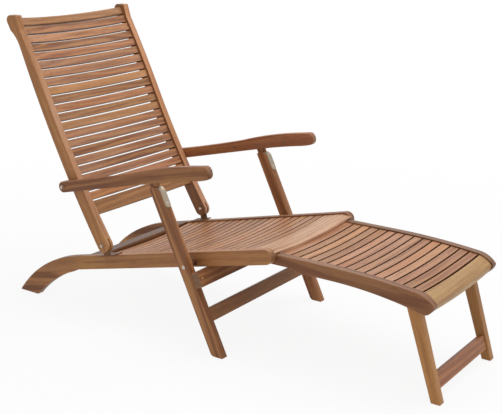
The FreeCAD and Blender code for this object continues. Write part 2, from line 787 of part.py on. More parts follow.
tongue_corners = [
    (bracket_point(-tongue_end, 0), 0),
    (bracket_point(tongue_end, 0), 0),
    (bracket_point(tongue_end, bracket_rise + tongue_end), tongue_end - 0.1),
    (bracket_point(-tongue_end, bracket_rise + tongue_end), tongue_end - 0.1),
]
base_corners = [
    (bracket_point(-half_bracket, 0), 0),
    (bracket_point(half_bracket, 0), 0),
    (bracket_point(half_bracket, steel), 0),
    (bracket_point(-half_bracket, steel), 0),
]
BASE_WIDTH = STILE_PLANE + " + Sizes.tongue_thickness / 2 - (" + RAIL_PLANE + ") + Sizes.stock / 2"
hinge_tongue = board("hinge_tongue", rounded_polygon(tongue_corners), "Sizes.tongue_thickness", None)
stand_at(hinge_tongue, STILE_PLANE)
hinge_base = board("hinge_base", rounded_polygon(base_corners), BASE_WIDTH, None)
stand_at(hinge_base, RAIL_PLANE + " - Sizes.stock / 2 + (" + BASE_WIDTH + ") / 2")
bracket_blank = doc.addObject("Part::Fuse", "bracket_blank")
bracket_blank.Base = hinge_tongue
bracket_blank.Tool = hinge_base

fork_top = tongue_end + 3 * GAP
fork_corners = [
    (back_pivot + stile_front * across + stile_up * up, 0)
    for across, up in (
        (-2 * end_radius, -2 * end_radius),
        (2 * end_radius, -2 * end_radius),
        (2 * end_radius, fork_top),
        (-2 * end_radius, fork_top),
    )
]
FORK_WIDTH = "Sizes.tongue_thickness + 2 * Sizes.rest_gap"
stile_fork = board("stile_fork", rounded_polygon(fork_corners), FORK_WIDTH, None)
stand_at(stile_fork, STILE_PLANE)


def bolt(name, face, outwards, end, centre, head="bolt_head_radius"):
    """A round-headed bolt: its head rests on face, its shank ends at end."""
    body = doc.addObject("PartDesign::Body", name)
    way = 1 if outwards else -1
    wide = size(head)
    high = size("bolt_head_height")
    flank = dome_flank(face, way, wide, high)
    outline = (
        Part.LineSegment(V(end, 0, 0), V(end, BOLT, 0)),
        Part.LineSegment(V(end, BOLT, 0), V(face, BOLT, 0)),
        Part.LineSegment(V(face, BOLT, 0), V(face, wide, 0)),
        Part.Arc(V(face, wide, 0), flank, V(face + way * high, 0, 0)),
        Part.LineSegment(V(face + way * high, 0, 0), V(end, 0, 0)),
    )
    turning = body.newObject("PartDesign::Revolution", name + "_turning")
    profile = sketch_on(body, "YZ_Plane", name + "_profile", outline)
    turning.Profile = profile
    turning.ReferenceAxis = (profile, ["H_Axis"])
    turning.Angle = 360
    body.Placement.Base = V(centre.x, 0, centre.y)
    return body


def blind(name, face, far_side, centre):
    """A bolt from inside with its washer, which ends short of the far side of a board."""
    seat = face - GAP - size("washer_thickness")
    shaft = bolt(name + "_bolt", seat, False, far_side - size("blind_cover"), centre)
    return shaft, washer(name + "_washer", seat, centre)


def fastened(name, face, nut_face, outwards, centre):
    """A bolt with its washer and cap nut: the nut is on the side that outwards names."""
    reach = size("washer_thickness")
    way = 1 if outwards else -1
    washer_start = nut_face if outwards else nut_face - reach
    nut_start = nut_face + way * reach
    shaft = bolt(name + "_bolt", face, not outwards, nut_start + way * 0.5, centre)
    ring = washer(name + "_washer", washer_start, centre)
    nut_blank = cap_nut(name + "_nut_blank", nut_start, centre, outwards)
    nut = cut(nut_blank, [shaft], name + "_nut")
    return shaft, ring, nut


rail_outer = RAIL_Y + HALF_STOCK
rail_inner = RAIL_Y - HALF_STOCK
stile_outer = STILE_Y + HALF_STOCK
stile_inner = STILE_Y - HALF_STOCK
arm_outer = ARM_Y + HALF_STOCK
arm_inner = ARM_Y - HALF_STOCK
footrail_inner = FOOTRAIL_Y - HALF_STOCK
footleg_inner = FOOTLEG_Y - HALF_STOCK

back_bolt, back_washer, back_nut = fastened(
    "back_hinge", stile_inner - GAP, stile_outer + GAP, True, back_pivot
)
leg_bolt, leg_washer, leg_nut = fastened(
    "leg_pivot", arm_outer + GAP, rail_inner, False, leg_pivot
)
footrest_bolt, footrest_washer = blind(
    "footrest_hinge", footrail_inner, rail_outer, footrest_pivot
)

bracket_screws = []
for number, side in enumerate((-1, 1)):
    place = bracket_point(side * (half_bracket - size("bracket_inset")), steel)
    bracket_screws.append(
        screw(
            "bracket_screw_%d" % number,
            V(place.x, RAIL_Y - 2, place.y),
            V(-seat_up.x, 0, -seat_up.y),
        )
    )
bracket_screw_set = grouped(bracket_screws, "bracket_screw_set")
left_and_right(cut(bracket_blank, [back_bolt, bracket_screw_set], "bracket"), "back_hinge_bracket")
pair(bracket_screw_set, "back_hinge_bracket_screws")
pair(back_bolt, "back_hinge_bolts")
pair(back_washer, "back_hinge_washers")
pair(back_nut, "back_hinge_cap_nuts")
pair(leg_bolt, "leg_pivot_bolts")
pair(leg_washer, "leg_pivot_washers")
pair(leg_nut, "leg_pivot_cap_nuts")
pair(footrest_bolt, "footrest_hinge_bolts")
pair(footrest_washer, "footrest_hinge_washers")

spacer_profile = (
    (rail_outer, BOLT),
    (rail_outer, size("spacer_radius")),
    (arm_inner - GAP, size("spacer_radius")),
    (arm_inner - GAP, BOLT),
)
pair(turned("leg_pivot_spacer", spacer_profile, leg_pivot), "leg_pivot_spacers")

seat_rail = cut(
    seat_rail_blank,
    [
        below_rail,
        seat_slat_group,
        rear_cross_rail,
        seat_nose_rail,
        bracket_screw_set,
        leg_bolt,
        footrest_bolt,
    ],
    "seat_rail",
)
left_and_right(seat_rail, "seat_rail")

# Arm hinge plates: flat steel on the stiles' outer face, with a stud behind each stile

arm_way = along(size("arm_rise"))
arm_up = left_of(arm_way)
plate_end = size("arm_plate_radius")
plate_front = size("arm_plate_length")


def plate_point(forward, up):
    """A point of the arm's hinge plate, from the arm's pivot."""
    return arm_pivot + arm_way * forward + arm_up * up


plate_corners = [
    (plate_point(-plate_end, -plate_end), plate_end - 0.1),
    (plate_point(plate_front, -plate_end), 5),
    (plate_point(plate_front, plate_end), 5),
    (plate_point(-plate_end, plate_end), plate_end - 0.1),
]
arm_plate_blank = board(
    "arm_plate_blank", rounded_polygon(plate_corners), "Sizes.arm_plate_thickness", None
)
stand_at(arm_plate_blank, STILE_PLANE + " + Sizes.stock / 2 + Sizes.arm_plate_thickness / 2")
plate_face = stile_outer + size("arm_plate_thickness")
arm_screws = []
for number, setback in enumerate((25, 8)):
    place = plate_point(plate_front - setback, 0)
    arm_screws.append(
        screw("arm_plate_screw_%d" % number, V(place.x, plate_face, place.y), V(0, -1, 0))
    )
arm_screw_set = grouped(arm_screws, "arm_plate_screw_set")
stud_profile = (
    (stile_outer, 0),
    (stile_outer, BOLT),
    (arm_outer + GAP + size("washer_thickness") + 0.5, BOLT),
    (arm_outer + GAP + size("washer_thickness") + 0.5, 0),
)
arm_stud = turned("arm_pivot_stud", stud_profile, arm_pivot)
arm_washer = washer("arm_pivot_washer", arm_outer + GAP, arm_pivot)
arm_nut_start = arm_outer + GAP + size("washer_thickness")
arm_nut = cut(cap_nut("arm_nut_blank", arm_nut_start, arm_pivot, True), [arm_stud], "arm_nut")
left_and_right(cut(arm_plate_blank, [arm_stud, arm_screw_set], "arm_plate"), "arm_hinge_plate")
pair(arm_screw_set, "arm_hinge_plate_screws")
pair(arm_stud, "arm_pivot_studs")
pair(arm_washer, "arm_pivot_washers")
pair(arm_nut, "arm_pivot_cap_nuts")

stile = cut(
    stile_blank,
    [stile_fork, back_slat_group, back_bottom_rail, back_top_rail, arm_screw_set],
    "stile",
)
left_and_right(stile, "back_stile")

# Front legs: crossed outside the seat rails, narrowed on top to enter the arms

leg_up = along(90 + size("leg_lean"))
leg_front = along(size("leg_lean"))
half_leg = size("leg_width") / 2
shoulder = size("leg_shoulder")
shoulder_radius = size("leg_shoulder_radius")


def leg_point(up, forward):
    """A point of a front leg, from its pivot."""
    return leg_pivot + leg_up * up + leg_front * forward


def on_ground(forward):
    """Where a line along the front leg meets the ground."""
    reach = -(leg_pivot.y + leg_front.y * forward) / leg_up.y
    return leg_point(reach, forward)


leg_rear_corner = corner_arc(
    leg_point(0, -half_leg), on_ground(-half_leg), on_ground(half_leg), size("leg_foot_radius")
)
leg_top_corner = corner_arc(
    leg_point(shoulder, half_leg), leg_point(shoulder, -half_leg), leg_point(0, -half_leg), 4
)
round_start = leg_point(shoulder - shoulder_radius, half_leg)
round_centre = leg_point(shoulder - shoulder_radius, half_leg - shoulder_radius)
round_middle = round_centre + (leg_up + leg_front).normalize() * shoulder_radius
round_end = leg_point(shoulder, half_leg - shoulder_radius)
leg_outline = [
    Part.LineSegment(on_ground(half_leg), round_start),
    Part.Arc(round_start, round_middle, round_end),
    Part.LineSegment(round_end, leg_top_corner[0]),
    leg_top_corner[1],
    Part.LineSegment(leg_top_corner[2], leg_rear_corner[0]),
    leg_rear_corner[1],
    Part.LineSegment(leg_rear_corner[2], on_ground(half_leg)),
]
leg_board = board("front_leg_board", leg_outline, holes=[(leg_pivot, RUNNING)])
stand_at(leg_board, ARM_PLANE)

pin_reach = size("leg_pin_reach")
pin_offset = size("leg_pin_offset")
tongue_front = pin_offset + size("leg_tongue_cheek")
tongue_rear = size("arris_radius") - half_leg
notch = size("recline_pin_radius") + GAP
tongue_top = pin_reach + size("recline_pin_radius")
tongue_outline = [
    Part.LineSegment(
        leg_point(shoulder - 12, tongue_rear),
        leg_point(tongue_top, tongue_rear),
    ),
    Part.LineSegment(
        leg_point(tongue_top, tongue_rear), leg_point(tongue_top, pin_offset - notch)
    ),
    Part.LineSegment(
        leg_point(tongue_top, pin_offset - notch), leg_point(pin_reach, pin_offset - notch)
    ),
    Part.Arc(
        leg_point(pin_reach, pin_offset - notch),
        leg_point(pin_reach - notch, pin_offset),
        leg_point(pin_reach, pin_offset + notch),
    ),
    Part.LineSegment(
        leg_point(pin_reach, pin_offset + notch), leg_point(tongue_top, pin_offset + notch)
    ),
    Part.LineSegment(
        leg_point(tongue_top, pin_offset + notch), leg_point(tongue_top, tongue_front)
    ),
    Part.LineSegment(
        leg_point(tongue_top, tongue_front),
        leg_point(shoulder - 12, tongue_front),
    ),
    Part.LineSegment(
        leg_point(shoulder - 12, tongue_front),
        leg_point(shoulder - 12, tongue_rear),
    ),
]
TONGUE = "Sizes.arm_groove_width - 2 * Sizes.leg_tongue_clearance"
leg_tongue = stand_at(board("front_leg_tongue", tongue_outline, TONGUE, None), ARM_PLANE)
leg_blank = doc.addObject("Part::Fuse", "front_leg_blank")
leg_blank.Base = leg_board
leg_blank.Tool = leg_tongue

# Arms: arched, round at both ends, grooved underneath for the legs

arm_end = size("arm_end_radius")


def from_arm_pivot(x, z):
    """A point of an arm, measured from its pivot."""
    return arm_pivot + V(x, z, 0)


arm_top_rear = arm_pivot + arm_up * arm_end
arm_low_rear = arm_pivot - arm_up * arm_end
arm_crest = from_arm_pivot(283, 87)
arm_top_front = from_arm_pivot(552, 148)
arm_nose = from_arm_pivot(581, 132)
arm_chin = from_arm_pivot(562, 109)
arm_low_front = from_arm_pivot(533, 103.5)
arm_low_middle = from_arm_pivot(359, 68.5)
arm_underside = [
    Part.LineSegment(arm_low_rear, arm_low_middle),
    Part.Arc(arm_low_middle, from_arm_pivot(449, 88.5), arm_low_front),
]
arm_outline = [
    Part.Arc(arm_low_rear, arm_pivot - arm_way * arm_end, arm_top_rear),
    Part.Arc(arm_top_rear, from_arm_pivot(116, 44), arm_crest),
    Part.Arc(arm_crest, from_arm_pivot(423, 126), arm_top_front),
    Part.Arc(arm_top_front, from_arm_pivot(573, 145), arm_nose),
    Part.Arc(arm_nose, from_arm_pivot(577.5, 116.5), arm_chin),
    Part.LineSegment(arm_chin, arm_low_front),
    arm_underside[1],
    arm_underside[0],
]
arm_blank = board("armrest_blank", arm_outline, holes=[(arm_pivot, RUNNING)])
underside_line = Track(arm_underside)


def underside_at(x):
    """The point of the arm's underside at an X."""
    low = 0.0
    high = underside_line.length
    for _ in range(50):
        middle = (low + high) / 2
        if underside_line.at(middle)[0].x < x:
            low = middle
        else:
            high = middle
    return underside_line.at(low)[0]


groove_rear = underside_at(size("arm_groove_rear_x"))
groove_front = underside_at(size("arm_groove_front_x"))
groove_middle = underside_at((groove_rear.x + groove_front.x) / 2)
groove_roof = V(0, size("arm_groove_depth"), 0)
groove_sill = V(0, size("arm_end_radius"), 0)
groove_outline = [
    Part.LineSegment(groove_rear - groove_sill, groove_rear + groove_roof),
    Part.Arc(groove_rear + groove_roof, groove_middle + groove_roof, groove_front + groove_roof),
    Part.LineSegment(groove_front + groove_roof, groove_front - groove_sill),
    Part.LineSegment(groove_front - groove_sill, groove_rear - groove_sill),
]
groove = arm_blank.newObject("PartDesign::Pocket", "armrest_groove")
groove.Profile = sketch_on(arm_blank, "XZ_Plane", "armrest_groove_outline", groove_outline)
groove.Midplane = True
groove.setExpression("Length", "Sizes.arm_groove_width")
stand_at(arm_blank, ARM_PLANE)

leg_pin = leg_point(pin_reach, pin_offset)
pin_rise = leg_pin.y - underside_at(leg_pin.x).y
recline_pins = []
for step in (-1, 0, 1):
    below = underside_at(leg_pin.x + step * size("recline_pitch"))
    pin = doc.addObject("Part::Cylinder", "recline_pin_%d" % (step + 2))
    pin.setExpression("Radius", "Sizes.recline_pin_radius")
    pin.setExpression("Height", "Sizes.stock - Sizes.recline_pin_cover")
    pin.Placement = FreeCAD.Placement(
        V(below.x, arm_inner, below.y + pin_rise), FreeCAD.Rotation(V(1, 0, 0), -90)
    )
    recline_pins.append(pin)
pin_set = grouped(recline_pins, "recline_pin_set")
left_and_right(cut(arm_blank, [pin_set], "armrest"), "armrest")
left_and_right(pin_set, "armrest_pins")

# What joins the front legs: a stretcher, the stop bar and the metal straps


def rectangle(point_at, high, low, rear, front, radius=0):
    """Four corners of a section, in a leg's own directions."""
    return [
        (point_at(high, rear), radius),
        (point_at(high, front), radius),
        (point_at(low, front), radius),
        (point_at(low, rear), radius),
    ]


def tenoned(name, point_at, high, low, rear, front, inside, arris):
    """A stretcher with a smaller tenon at each end: inside is half the space it spans."""
    shoulder_in = size("tenon_shoulder")
    bar = board(
        name + "_bar", rounded_polygon(rectangle(point_at, high, low, rear, front)), inside[0], arris
    )
    section = rectangle(
        point_at, high - shoulder_in, low + shoulder_in, rear + shoulder_in, front - shoulder_in
    )
    tenon = board(name + "_tenon", rounded_polygon(section), inside[0] + inside[1], None)
    whole = doc.addObject("Part::Fuse", name)
    whole.Base = bar
    whole.Tool = tenon
    return keep(whole, name)


TENONS = " + 2 * Sizes.tenon_depth"
stretcher_top = -size("stretcher_reach")
front_stretcher = tenoned(
    "front_stretcher",
    leg_point,
    stretcher_top,
    stretcher_top - size("stretcher_width"),
    half_leg - size("stretcher_thickness"),
    half_leg,
    ("2 * (" + ARM_PLANE + ") - Sizes.stock", TENONS),
    "Sizes.arris_radius",
)

bar_front = half_leg + size("stop_bar_thickness")
rise_at_pivot = (leg_pivot - seat_top).dot(seat_up)
bar_top = (-rail_depth - GAP - rise_at_pivot - bar_front * leg_front.dot(seat_up)) / leg_up.dot(seat_up)
bar_low = bar_top - size("stop_bar_width")
stop_bar_blank = board(
    "stop_bar_blank",
    rounded_polygon(rectangle(leg_point, bar_top, bar_low, half_leg, bar_front)),
    "Sizes.overall_width",
)
bar_screw_place = leg_point((bar_top + bar_low) / 2, bar_front)
bar_screw = screw(
    "stop_bar_screw",
    V(bar_screw_place.x, ARM_Y, bar_screw_place.y),
    V(-leg_front.x, 0, -leg_front.y),
    "bar_screw_length",
)
bar_screws = pair(bar_screw, "stop_bar_screws")
keep(cut(stop_bar_blank, [bar_screws], "stop_bar"), "stop_bar")

strap_thickness = size("strap_thickness")
inside_arc = math.acos((tongue_front - half_leg + shoulder_radius) / shoulder_radius)
outer_radius = shoulder_radius + strap_thickness
outside_arc = math.acos((tongue_front - half_leg + shoulder_radius) / outer_radius)


def round_point(radius, angle):
    """A point round the leg's shoulder, from its front towards its top."""
    return round_centre + leg_front * (radius * math.cos(angle)) + leg_up * (radius * math.sin(angle))


strap_low = shoulder - shoulder_radius - size("strap_reach")
strap_outline = [
    Part.LineSegment(leg_point(strap_low, half_leg), round_start),
    Part.Arc(
        round_start,
        round_point(shoulder_radius, inside_arc / 2),
        round_point(shoulder_radius, inside_arc),
    ),
    Part.LineSegment(round_point(shoulder_radius, inside_arc), round_point(outer_radius, outside_arc)),
    Part.Arc(
        round_point(outer_radius, outside_arc),
        round_point(outer_radius, outside_arc / 2),
        round_point(outer_radius, 0),
    ),
    Part.LineSegment(round_point(outer_radius, 0), leg_point(strap_low, half_leg + strap_thickness)),
    Part.LineSegment(leg_point(strap_low, half_leg + strap_thickness), leg_point(strap_low, half_leg)),
]
strap_blank = stand_at(board("strap_blank", strap_outline, "Sizes.strap_width", None), ARM_PLANE)
strap_end = leg_point(strap_low, half_leg + strap_thickness / 2)
strap_ends = [
    "Edge%d" % number
    for number, edge in enumerate(strap_blank.Tip.Shape.Edges, start=1)
    if math.hypot(edge.CenterOfMass.x - strap_end.x, edge.CenterOfMass.z - strap_end.y) < 0.1
]
strap_pad = strap_blank.Tip
strap_corners = strap_blank.newObject("PartDesign::Fillet", "strap_corners")
strap_corners.Base = (strap_pad, strap_ends)
strap_corners.setExpression("Radius", "Sizes.strap_corner")
strap_screw_place = leg_point(strap_low + 14, half_leg + strap_thickness)
strap_screw = screw(
    "strap_screw",
    V(strap_screw_place.x, ARM_Y, strap_screw_place.y),
    V(-leg_front.x, 0, -leg_front.y),
)
strap = cut(strap_blank, [strap_screw], "strap")
left_and_right(strap, "leg_strap")
pair(strap_screw, "leg_strap_screws")
left_and_right(cut(leg_blank, [front_stretcher, bar_screw, strap_screw], "front_leg"), "front_leg")

# Footrest: rails hinged inside the seat rails' noses

foot_end = size("footrest_end_radius")
rail_top = footrest_pivot.y + foot_end
flat_end = V(size("footrest_flat_x"), rail_top, 0)
bend_end = V(size("footrest_bend_x"), rail_top - size("footrest_bend_drop"), 0)
foot_nose = V(size("footrest_nose_x"), size("footrest_nose_height"), 0)
foot_chin = V(foot_nose.x - 24, size("footrest_front_height"), 0)
mid_low = rail_top - size("footrest_mid_depth")
rear_low = footrest_pivot.y - foot_end


def tangent_arc(start, direction, end):
    """The arc that leaves start along a direction and meets end."""
    chord = end - start
    side = left_of(direction)
    radius = chord.dot(chord) / (2 * chord.dot(side))
    centre = start + side * radius
    middle = centre + ((start - centre) + (end - centre)).normalize() * abs(radius)
    return Part.Arc(start, middle, end)


bend_fall = 2 * math.degrees(math.atan2(size("footrest_bend_drop"), bend_end.x - flat_end.x))
footrest_top_curves = [
    Part.LineSegment(footrest_pivot + V(0, foot_end, 0), flat_end),
    tangent_arc(flat_end, V(1, 0, 0), bend_end),
    tangent_arc(bend_end, along(-bend_fall), foot_nose),
]
low_bend = V(flat_end.x + 2, mid_low, 0)
step_low = V(footrest_pivot.x + 98, mid_low, 0)
step_high = V(footrest_pivot.x + 65, rear_low, 0)
footrest_outline = footrest_top_curves + [
    Part.Arc(foot_nose, V(foot_nose.x - 7, foot_nose.y - 17, 0), foot_chin),
    tangent_arc(low_bend, V(1, 0, 0), foot_chin),
    Part.LineSegment(low_bend, step_low),
    Part.LineSegment(step_low, step_high),
    Part.LineSegment(step_high, footrest_pivot - V(0, foot_end, 0)),
    Part.Arc(
        footrest_pivot - V(0, foot_end, 0),
        footrest_pivot - V(foot_end, 0, 0),
        footrest_pivot + V(0, foot_end, 0),
    ),
]
footrest_rail_blank = board(
    "footrest_rail_blank", footrest_outline, holes=[(footrest_pivot, RUNNING)]
)
stand_at(footrest_rail_blank, FOOTRAIL_PLANE)
footrest_line = Track(footrest_top_curves)
FOOTRAIL_HALF = FOOTRAIL_Y - HALF_STOCK


def footrest_slat(name, station, width):
    """A dished slat of the footrest, centred on a distance from the hinge."""
    point, way = footrest_line.at(station)
    normal = V(-way.y, way.x, 0)
    place = point - normal * size("footrest_slat_drop")
    dish = size("footrest_dish")
    return dished(name, FOOTRAIL_HALF, width, "slat_thickness", dish, place, normal)


first_gap = size("footrest_first_gap_x") - footrest_pivot.x
narrow_centre = first_gap - size("slat_gap") / 2 - size("footrest_narrow_slat") / 2
footrest_slats = [footrest_slat("footrest_slat_00", narrow_centre, "Sizes.footrest_narrow_slat")]
for index in range(int(size("footrest_slat_count"))):
    station = first_gap + (index + 0.5) * size("footrest_slat_pitch")
    footrest_slats.append(
        footrest_slat(
            "footrest_slat_%02d" % (index + 1),
            station,
            "Sizes.footrest_slat_pitch - Sizes.slat_gap",
        )
    )
footrest_slat_group = keep(grouped(footrest_slats, "footrest_slats"), "footrest_slats")

# Footrest legs, which fold up between the footrest rails

foot_middle = V(size("footleg_toe_x") - size("footleg_foot_length") / 2, 0, 0)
footleg_down = (foot_middle - footleg_pivot).normalize()
footleg_front = V(-footleg_down.y, footleg_down.x, 0)
half_footleg = size("footleg_width") / 2


def footleg_point(up, forward):
    """A point of a footrest leg, from its pivot."""
    return footleg_pivot - footleg_down * up + footleg_front * forward


footleg_toe = V(size("footleg_toe_x"), 0, 0)
footleg_heel = V(size("footleg_toe_x") - size("footleg_foot_length"), 0, 0)
footleg_outline = [
    Part.LineSegment(footleg_toe, footleg_point(0, half_footleg)),
    Part.Arc(
        footleg_point(0, half_footleg), footleg_point(half_footleg, 0), footleg_point(0, -half_footleg)
    ),
    Part.LineSegment(footleg_point(0, -half_footleg), footleg_heel),
    Part.LineSegment(footleg_heel, footleg_toe),
]
footleg_blank = board("footrest_leg_blank", footleg_outline, holes=[(footleg_pivot, RUNNING)])
stand_at(footleg_blank, FOOTLEG_PLANE)

footleg_stretcher_top = -size("footleg_stretcher_reach")
footleg_stretcher_front = half_footleg - size("footleg_stretcher_setback")
footleg_stretcher = tenoned(
    "footrest_leg_stretcher",
    footleg_point,
    footleg_stretcher_top,
    footleg_stretcher_top - size("footleg_stretcher_width"),
    footleg_stretcher_front - size("footleg_stretcher_thickness"),
    footleg_stretcher_front,
    ("2 * (" + FOOTLEG_PLANE + ") - Sizes.stock", TENONS),
    "Sizes.arris_radius",
)
left_and_right(cut(footleg_blank, [footleg_stretcher], "footrest_leg"), "footrest_leg")

footleg_bolt, footleg_washer = blind(
    "footrest_leg", footleg_inner, FOOTRAIL_Y + HALF_STOCK, footleg_pivot
)
pair(footleg_bolt, "footrest_leg_bolts")
pair(footleg_washer, "footrest_leg_washers")

# The footrest's crowned nose rail, whose rear face stops the legs

nose_station = first_gap + size("footrest_slat_count") * size("footrest_slat_pitch")
nose_back, nose_way = footrest_line.at(nose_station + size("slat_gap") / 2)
drop = size("footrest_slat_drop")
stop_forward = half_footleg + size("footleg_stop_gap")
stop_high = footleg_point(-1, stop_forward)
stop_low = footleg_point(-18, stop_forward)
nose_low_back = V(nose_back.x, stop_high.y + 2, 0)
nose_tip = foot_nose - V(drop, 0, 0)
nose_chin = V(foot_nose.x - 11, foot_chin.y + 8, 0)
nose_rail_outline = [
    Part.Arc(
        nose_back - V(0, drop, 0),
        V(bend_end.x + 30, nose_back.y - drop - 9.5, 0),
        nose_tip,
    ),
    Part.Arc(nose_tip, V(nose_tip.x - 1.5, (nose_tip.y + nose_chin.y) / 2, 0), nose_chin),
    Part.LineSegment(nose_chin, stop_low),
    Part.LineSegment(stop_low, stop_high),
    Part.LineSegment(stop_high, nose_low_back),
    Part.LineSegment(nose_low_back, nose_back - V(0, drop, 0)),
]
footrest_nose_rail = crowned(
    "footrest_nose_rail",
    nose_rail_outline,
    FOOTRAIL_HALF,
    size("footrest_dish"),
    V(0, rail_top - drop, 0),
    V(1, 0, 0),
    V(0, 1, 0),
)
keep(footrest_nose_rail, "footrest_nose_rail")

footrest_rail = cut(
    footrest_rail_blank, [footrest_slat_group, footrest_nose_rail, footleg_bolt], "footrest_rail"
)
left_and_right(footrest_rail, "footrest_rail")

# Check every object, then write each node

doc.recompute()
for thing in doc.Objects:
    if "Invalid" in thing.State or "Error" in thing.State:
        raise RuntimeError("%s failed: %s" % (thing.Name, thing.State))
labels = [node.Label for node in nodes]
if len(set(labels)) != len(labels):
    raise RuntimeError("two nodes share a name")
os.makedirs("parts", exist_ok=True)
for node in nodes:
    if node.Shape.isNull() or not node.Shape.Solids:
        raise RuntimeError("%s has no solid" % node.Label)
    if not all(solid.isValid() and solid.Volume > 0 for solid in node.Shape.Solids):
        raise RuntimeError("%s has a solid that isn't valid" % node.Label)
    node.Shape.exportStep("parts/%s.step" % node.Label)
print("%d nodes" % len(nodes))
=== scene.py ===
"""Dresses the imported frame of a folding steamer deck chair, and lights it for its picture.

X runs from the head to the feet, Y to the sitter's left and Z up. Lengths are in metres.
"""

import logging
import math
from dataclasses import dataclass, field
from enum import Enum
from typing import Callable

import bpy
from mathutils import Matrix, Vector


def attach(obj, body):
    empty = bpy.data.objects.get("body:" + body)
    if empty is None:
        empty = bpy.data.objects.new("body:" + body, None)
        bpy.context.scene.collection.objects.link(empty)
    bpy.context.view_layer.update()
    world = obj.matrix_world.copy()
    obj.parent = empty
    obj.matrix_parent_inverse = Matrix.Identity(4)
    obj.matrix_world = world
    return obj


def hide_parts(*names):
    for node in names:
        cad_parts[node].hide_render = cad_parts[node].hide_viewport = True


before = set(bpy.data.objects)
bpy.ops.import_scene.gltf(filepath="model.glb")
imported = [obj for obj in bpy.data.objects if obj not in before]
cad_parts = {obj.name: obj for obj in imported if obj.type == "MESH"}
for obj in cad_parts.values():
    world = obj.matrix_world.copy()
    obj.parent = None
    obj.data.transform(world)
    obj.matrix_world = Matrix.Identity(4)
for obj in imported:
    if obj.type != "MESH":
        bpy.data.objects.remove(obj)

log = logging.getLogger("deck_chair")

Colour = tuple[float, float, float]
Point = tuple[float, float, float]
Waves = tuple[float, float, float]
SEWN_WITHIN = 0.00002
HAIR = 0.0001
WHITE = (1.0, 1.0, 1.0, 1.0)


class Grain(Enum):
    """Which way a piece's wood runs, as degrees above X, or across the chair."""

    SEAT = (13.1, False)
    SEAT_ACROSS = (13.1, True)
    STILE = (116.2, False)
    BACK_ACROSS = (116.2, True)
    ARM = (14.0, False)
    LEG = (115.7, False)
    LEG_ACROSS = (115.7, True)
    FOOTREST = (-4.0, False)
    FOOTREST_ACROSS = (-4.0, True)
    FOOTREST_LEG = (107.8, False)
    FOOTREST_LEG_ACROSS = (107.8, True)

    @property
    def turn(self) -> Point:
        """The turn that lays this grain along X, in radians."""
        angle, across = self.value
        return (0.0, math.radians(angle), -math.pi / 2 if across else 0.0)

    @property
    def way(self) -> Point:
        """The direction in the chair's side view in which the panel or board runs."""
        angle = math.radians(self.value[0])
        return (math.cos(angle), 0.0, math.sin(angle))

    @property
    def fibre(self) -> Point:
        """The direction of the wood's fibres."""
        return (0.0, 1.0, 0.0) if self.value[1] else self.way

    @property
    def upward_side(self) -> Point:
        """The direction that the face turned to the sky looks in."""
        angle = math.radians(self.value[0])
        turned = 1.0 if self.value[0] > 90.0 else -1.0
        return (turned * math.sin(angle), 0.0, -turned * math.cos(angle))


class Metal(Enum):
    """The finishes of the chair's hardware, each a colour and a roughness."""

    BRASS = ((0.56, 0.38, 0.15), 0.32)
    BRONZE = ((0.19, 0.095, 0.050), 0.50)
    STRAP = ((0.40, 0.33, 0.25), 0.40)
    BOLT = ((0.52, 0.43, 0.36), 0.30)
    DULL = ((0.20, 0.16, 0.12), 0.50)


